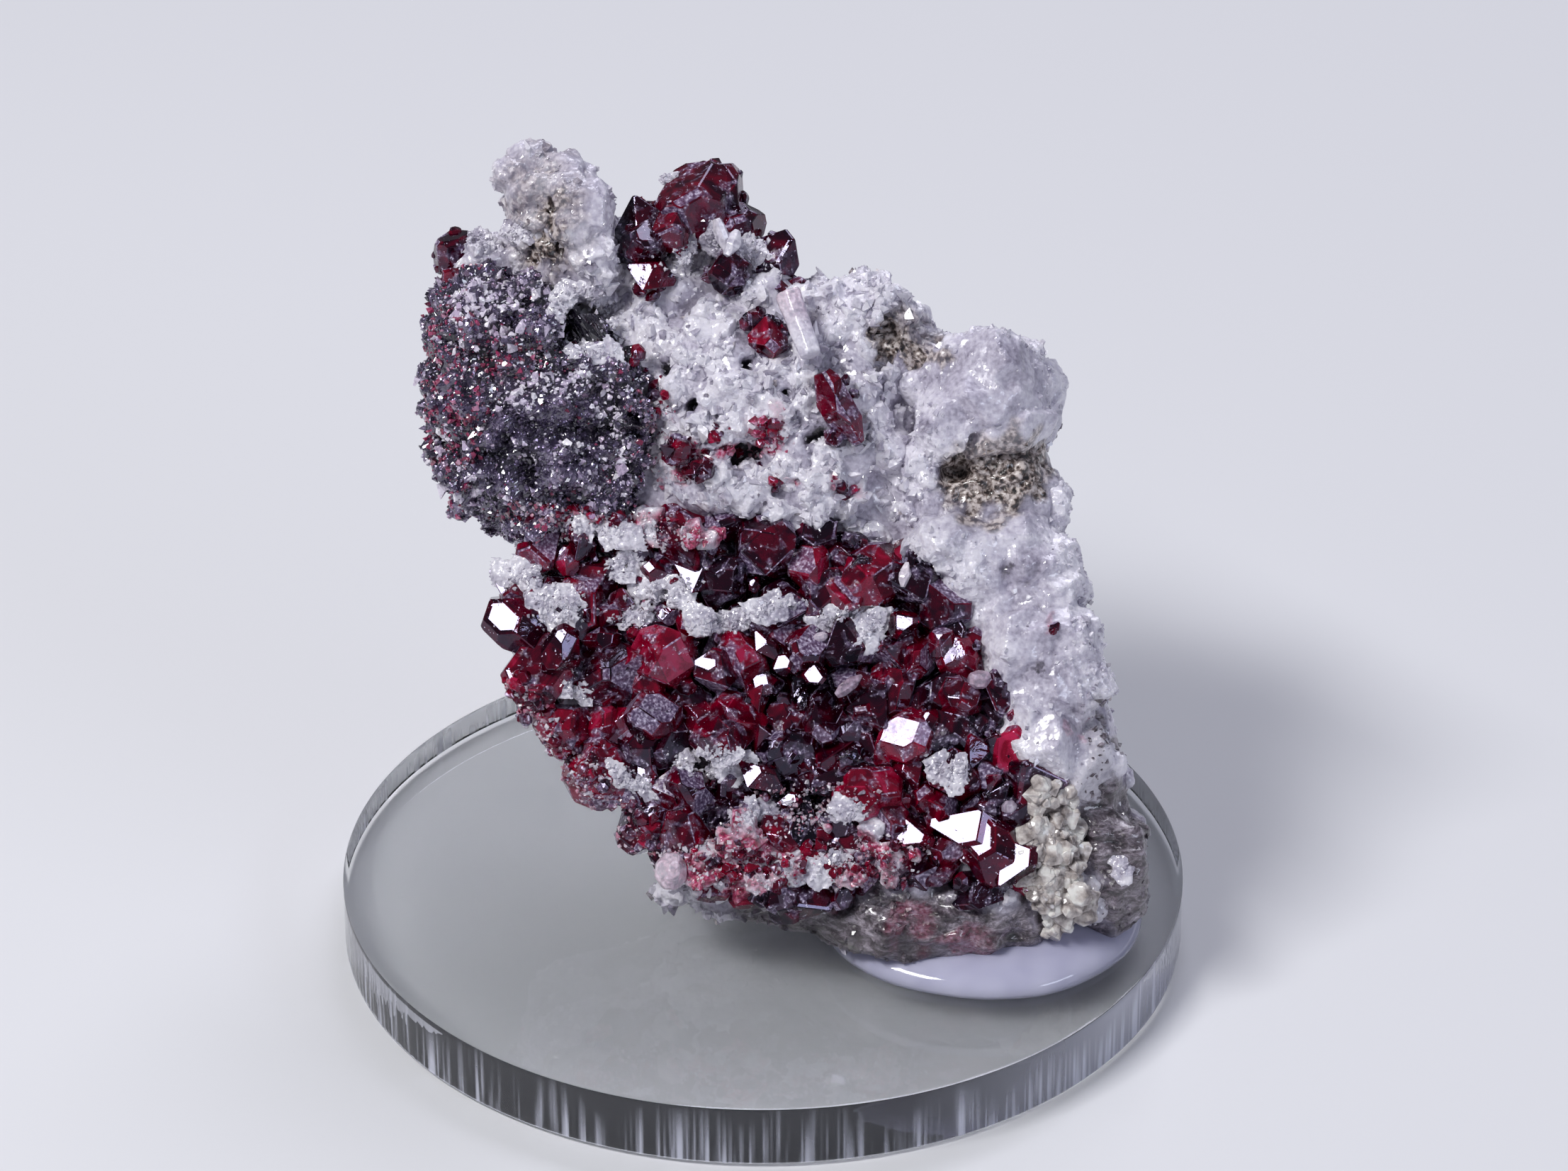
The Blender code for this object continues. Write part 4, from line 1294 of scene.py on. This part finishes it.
rosySpots = [
    (-10.9, 7.2, 2.1, 1.0, -50), (-8.5, 4.3, 2.4, 1.0, -43), (-5.8, 1.4, 2.4, 1.0, -40),
    (-1.8, -0.1, 2.8, 0.9, -3), (3.6, 0.3, 3.0, 0.9, 4), (1.0, 1.6, 3.4, 0.9, 5),
    (-8.8, 16.2, 3.2, 0.6, -6), (-5.0, 15.7, 2.8, 0.5, -8),
]


def makeRosy():
    s = rosySettings
    points, sizes = spread(rosySpots, *s["blocks"], (crystalBed, rockCore), s["raised"])
    piece = fusedSheet("rosy_crust", points, sizes, s)
    pinks = 0.65 + 1.8 * cloud(facePoints(piece.data), 0.9, 58)
    setMark(piece.data, "pink", np.clip(pinks, 0, 1))
    return piece


rosyCrust = finishPiece(makeRosy(), sugaryCalcite)

# Small grains of red and of pinkish calcite, in the places where they gather

redSpots = [
    (-8.6, 16.4, 2.8, 0.5, -5), (-3.8, 18.8, 1.3, 0.9, 0), (0.3, 20.2, 1.0, 0.8, 20),
    (0.6, 17.8, 0.4, 0.4, 0), (3.9, 17.6, 0.6, 0.5, 0), (13.3, 11.2, 0.2, 0.25, 0),
    (-1.9, 19.9, 0.8, 0.8, 0), (-10.6, 7.6, 1.9, 1.0, -45), (-8.2, 4.8, 2.2, 1.0, -42),
    (-5.4, 1.8, 2.2, 1.0, -40), (-1.6, 0.4, 3.2, 1.0, -3), (4.0, 0.4, 3.4, 1.0, 4),
    (-5.0, 22.0, 0.6, 1.6, 8),
]
pinkSpots = [
    (-10.8, 7.2, 2.0, 1.0, -48), (-8.4, 4.4, 2.3, 1.0, -42), (-5.8, 1.4, 2.4, 1.0, -40),
    (-1.6, 0.2, 3.2, 1.2, -3), (4.2, 0.4, 3.0, 1.2, 6), (-8.8, 16.2, 3.2, 0.8, -6),
    (-5.2, 15.7, 2.8, 0.8, -8), (-4.8, 20.4, 0.8, 2.4, 8), (0.2, 20.0, 1.2, 0.9, 20),
    (-3.8, 18.8, 1.6, 1.0, 0), (1.4, 2.8, 3.2, 1.1, 10),
]
frontPieces = (frontCrystals, crystalBed, rosyCrust, crustBody, *jumbles, rockCore)


def makeSmallReds():
    points, sizes = spread(redSpots, *smallSettings["reds"], frontPieces, soft=0.3)
    tones = np.random.default_rng(72).uniform(0.3, 1.0, len(points))
    copies = scatter(points, sizes, crystalForms, 73, {"tone": tones})
    return joinedCopies("small_red_crystals", crystalForms, copies, 74)


def makePinkGrains():
    # pinkish grains in their own places, and white ones that frost the draped sheets
    rosy = spread(pinkSpots, *smallSettings["pinks"], frontPieces)
    sheets = (*frontPieces, topReds, drapedCalcite)
    frost = spread(draped, *smallSettings["frost"], sheets, soft=0.3)
    points, sizes = [np.concatenate(part) for part in zip(rosy, frost)]
    pinks = np.random.default_rng(76).random(len(rosy[0])) ** 2
    tones = np.random.default_rng(80).normal(0.85, 0.2, len(points))
    marks = {"tone": tones, "pink": np.pad(pinks, (0, len(frost[0])))}
    return joinedCopies("pink_grains", chipForms, scatter(points, sizes, chipForms, 77, marks), 78)


finishPiece(makeSmallReds(), redCuprite)
finishPiece(makePinkGrains(), sugaryCalcite)

# Single pale crystals, the pinkish rod and the cream calcite at the right foot

paleEntries = [
    (8, (-4.2, 0.0, 10.4), (0.8, 0.95, 0.8), (0, 10, -4), 0.85),
    (3, (10.0, 8.8, 10.4), (0.6, 0.5, 0.5), (20, 10, 0), 0.5),
    (6, (3.9, 8.5, 10.5), (0.85, 0.36, 0.4), (0, 0, 38), 0.45),
    (8, (2.7, 10.8, 10.4), (0.36, 0.24, 0.3), (0, 0, 10), 0.8),
    (4, (6.6, 13.6, 10.4), (0.3, 0.62, 0.25), (0, 20, -8), 0.95),
    (8, (11.4, 2.9, 10.3), (0.4, 0.4, 0.4), (0, 0, 0), 0.5),
    (6, (11.9, 0.4, 10.4), (0.5, 0.5, 0.4), (10, 20, 0), 0.7),
    (6, (-1.9, 29.4, 9.8), (0.35, 1.0, 0.5), (10, 25, 25), 0.95),
    (6, (-1.4, 29.0, 9.8), (0.4, 0.8, 0.5), (-20, -15, -20), 0.9),
]


def makePale():
    places = handPlaced(paleEntries, mirrorNormal)
    places["marks"]["pink"] = np.linspace(0.3, 0.0, len(paleEntries))
    return joinedCopies("pale_crystals", topForms, places, 81)


rodSettings = {"voxel": 0.07, "worn": 6, "relief": [(0.05, 0.7, 82)], "sink": -0.06, "tone": 0.85}


def makeRod():
    # pinker towards its upper end
    s = rodSettings
    rod = copyOfNode("calcite_rod", "pinkish_rod", s["voxel"])
    rod.modifiers.new("rounded", "SMOOTH").iterations = s["worn"]
    applyModifiers(rod)
    points, _ = roughen(rod, s["relief"], s["sink"])
    setMark(rod.data, "tone", np.full(len(points), s["tone"]))
    setMark(rod.data, "pink", np.clip((points[:, 1] - 24.5) * 0.12, 0, 0.3))
    rod.data.shade_smooth()
    return rod


creamSettings = {"voxel": 0.09, "grains": 700, "sizes": (0.12, 0.62), "sink": (-0.6, 0.4)}


def makeCream():
    # the node's own shape, with blocky grains grown over it
    s = creamSettings
    base = copyOfNode("cream_calcite", "cream_rhombs", s["voxel"])
    rng = np.random.default_rng(83)
    points, normals = surfaceSamples(base, s["grains"], rng)
    sizes = grainSizes(rng, len(points), s["sizes"], 2.5)
    points = points + normals * (sizes * rng.uniform(*s["sink"], len(points)))[:, None]
    copies = scatter(points, sizes, crystalForms, 85, {"tone": sizes})
    grains = joinedCopies("cream_grains", crystalForms, copies, 86)
    only(base)
    grains.select_set(True)
    bpy.ops.object.join()
    base.data.shade_flat()
    return base


finishPiece(makePale(), sugaryCalcite)
finishPiece(makeRod(), sugaryCalcite, "calcite_rod")
finishPiece(makeCream(), creamCalcite, "cream_calcite")

# The glue, and the disc that it holds the specimen to

glueSettings = {
    "sides": 128, "rings": 64, "foot": -0.02, "slope": 0.8,
    "wander": 0.03, "waves": 0.55,  # how far its edge leaves a true oval, and over what width
    "sink": 0.3,  # mm that the mound goes into the disc
}


def makeGlue():
    # half a flattened ball, as a melt spreads and sets
    s = glueSettings
    low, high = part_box("glue_mound")
    middle, half = (low + high) / 2, (high - low) / 2
    bpy.ops.mesh.primitive_uv_sphere_add(segments=s["sides"], ring_count=s["rings"], radius=1)
    glue = bpy.context.active_object
    glue.name = "glue_dome"
    bpy.ops.object.mode_set(mode="EDIT")
    bpy.ops.mesh.select_all(action="SELECT")
    bpy.ops.mesh.bisect(
        plane_co=(0, 0, s["foot"]), plane_no=(0, 0, 1), use_fill=True, clear_inner=True
    )
    bpy.ops.object.mode_set(mode="OBJECT")
    mesh = glue.data
    points = read(mesh.vertices, "co", 3)
    reach = 1 + s["wander"] * cloud(points * np.array([1, 1, 0.3]), s["waves"], 91)
    bottom = low.z - s["sink"] * mm
    for axis in (0, 1):
        points[:, axis] = middle[axis] + points[:, axis] * half[axis] * reach
    points[:, 2] = bottom + np.clip(points[:, 2], 0, 1) ** s["slope"] * (high.z - bottom)
    setWorldPoints(mesh, points)
    mesh.shade_smooth()
    return glue


discSettings = {
    "sides": 1440,
    "levels": (0.3, 0.7, 1.1, 1.5, 1.9, 2.3, 2.7),  # heights in mm at which the lines can end
    "lines": 0.03,  # how deep the cutter's lines are, in mm
    "pattern": [(1.2, 0.15, 92), (0.6, 0.5, 93), (0.5, 1.6, 95)],
    "rim": 0.05,
    # painted light: the edge is painted more whitish towards one side, round brightSide, as if lit
    # there; brightShare is how much
    "whitish": 0.06,  # all round, and more towards the bright side
    "brightSide": -35, "brightShare": 0.5,  # degrees round from the right
    "smooth": 35,  # degrees: sharper edges than this stay crisp
}


def makeDisc():
    # a cylinder with finely worn rims, and the upright lines of its cut edge, deepest at the foot
    s = discSettings
    bpy.ops.mesh.primitive_cylinder_add(
        vertices=s["sides"], radius=discRadius, depth=discTop, location=(0, 0, discTop / 2)
    )
    disc = bpy.context.active_object
    disc.name = "acrylic_disc"
    bpy.ops.object.transform_apply(location=True)
    bpy.ops.object.mode_set(mode="EDIT")
    work = bmesh.from_edit_mesh(disc.data)
    for edge in work.edges:
        edge.select = abs(edge.verts[0].co.z - edge.verts[1].co.z) < touching
    bmesh.update_edit_mesh(disc.data)
    bpy.ops.mesh.bevel(offset=s["rim"] * mm, segments=2, affect="EDGES")
    bpy.ops.mesh.select_all(action="DESELECT")
    work = bmesh.from_edit_mesh(disc.data)
    for face in work.faces:
        face.select = len(face.verts) > 4
    bmesh.update_edit_mesh(disc.data)
    bpy.ops.mesh.inset(thickness=s["rim"] * 4 * mm)
    for level in s["levels"]:
        bpy.ops.mesh.select_all(action="SELECT")
        bpy.ops.mesh.bisect(plane_co=(0, 0, level * mm), plane_no=(0, 0, 1))
    bpy.ops.object.mode_set(mode="OBJECT")
    mesh = disc.data
    points = read(mesh.vertices, "co", 3)
    edge = np.hypot(points[:, 0], points[:, 1]) > discRadius - touching
    angle = np.arctan2(points[:, 1], points[:, 0])
    height = points[:, 2] / mm
    rows = np.column_stack([angle * discRadius / mm, height * 0.03, height * 0])
    lines = relief(rows, s["pattern"])
    fade = np.clip(1.1 - height / 2.4 + 0.9 * cloud(rows, 2.5, 94), 0, 1)
    # painted light: the side of the edge round brightSide is painted whiter, as if lit
    away = abs(np.degrees(angle) - s["brightSide"]) / abs(s["brightSide"])
    bright = np.clip(1 - away, 0, 1)
    scored = np.where(edge, np.clip(lines + 0.3, 0, 1) * fade, 0)
    points[:, :2] *= (1 - scored * s["lines"] * mm / discRadius)[:, None]
    setWorldPoints(mesh, points)
    # a little whitish all round, the painted light on one side, and the cutter's lines
    whitish = s["whitish"] + s["brightShare"] * bright + np.clip(lines, 0, 1) * fade
    setMark(mesh, "scored", np.where(edge, np.clip(whitish, 0, 0.9), 0))
    only(disc)
    bpy.ops.object.shade_smooth_by_angle(angle=math.radians(s["smooth"]))
    return disc


finishPiece(makeGlue(), hotMeltGlue, "glue_mound")
finishPiece(makeDisc(), clearAcrylic, "base_disc")
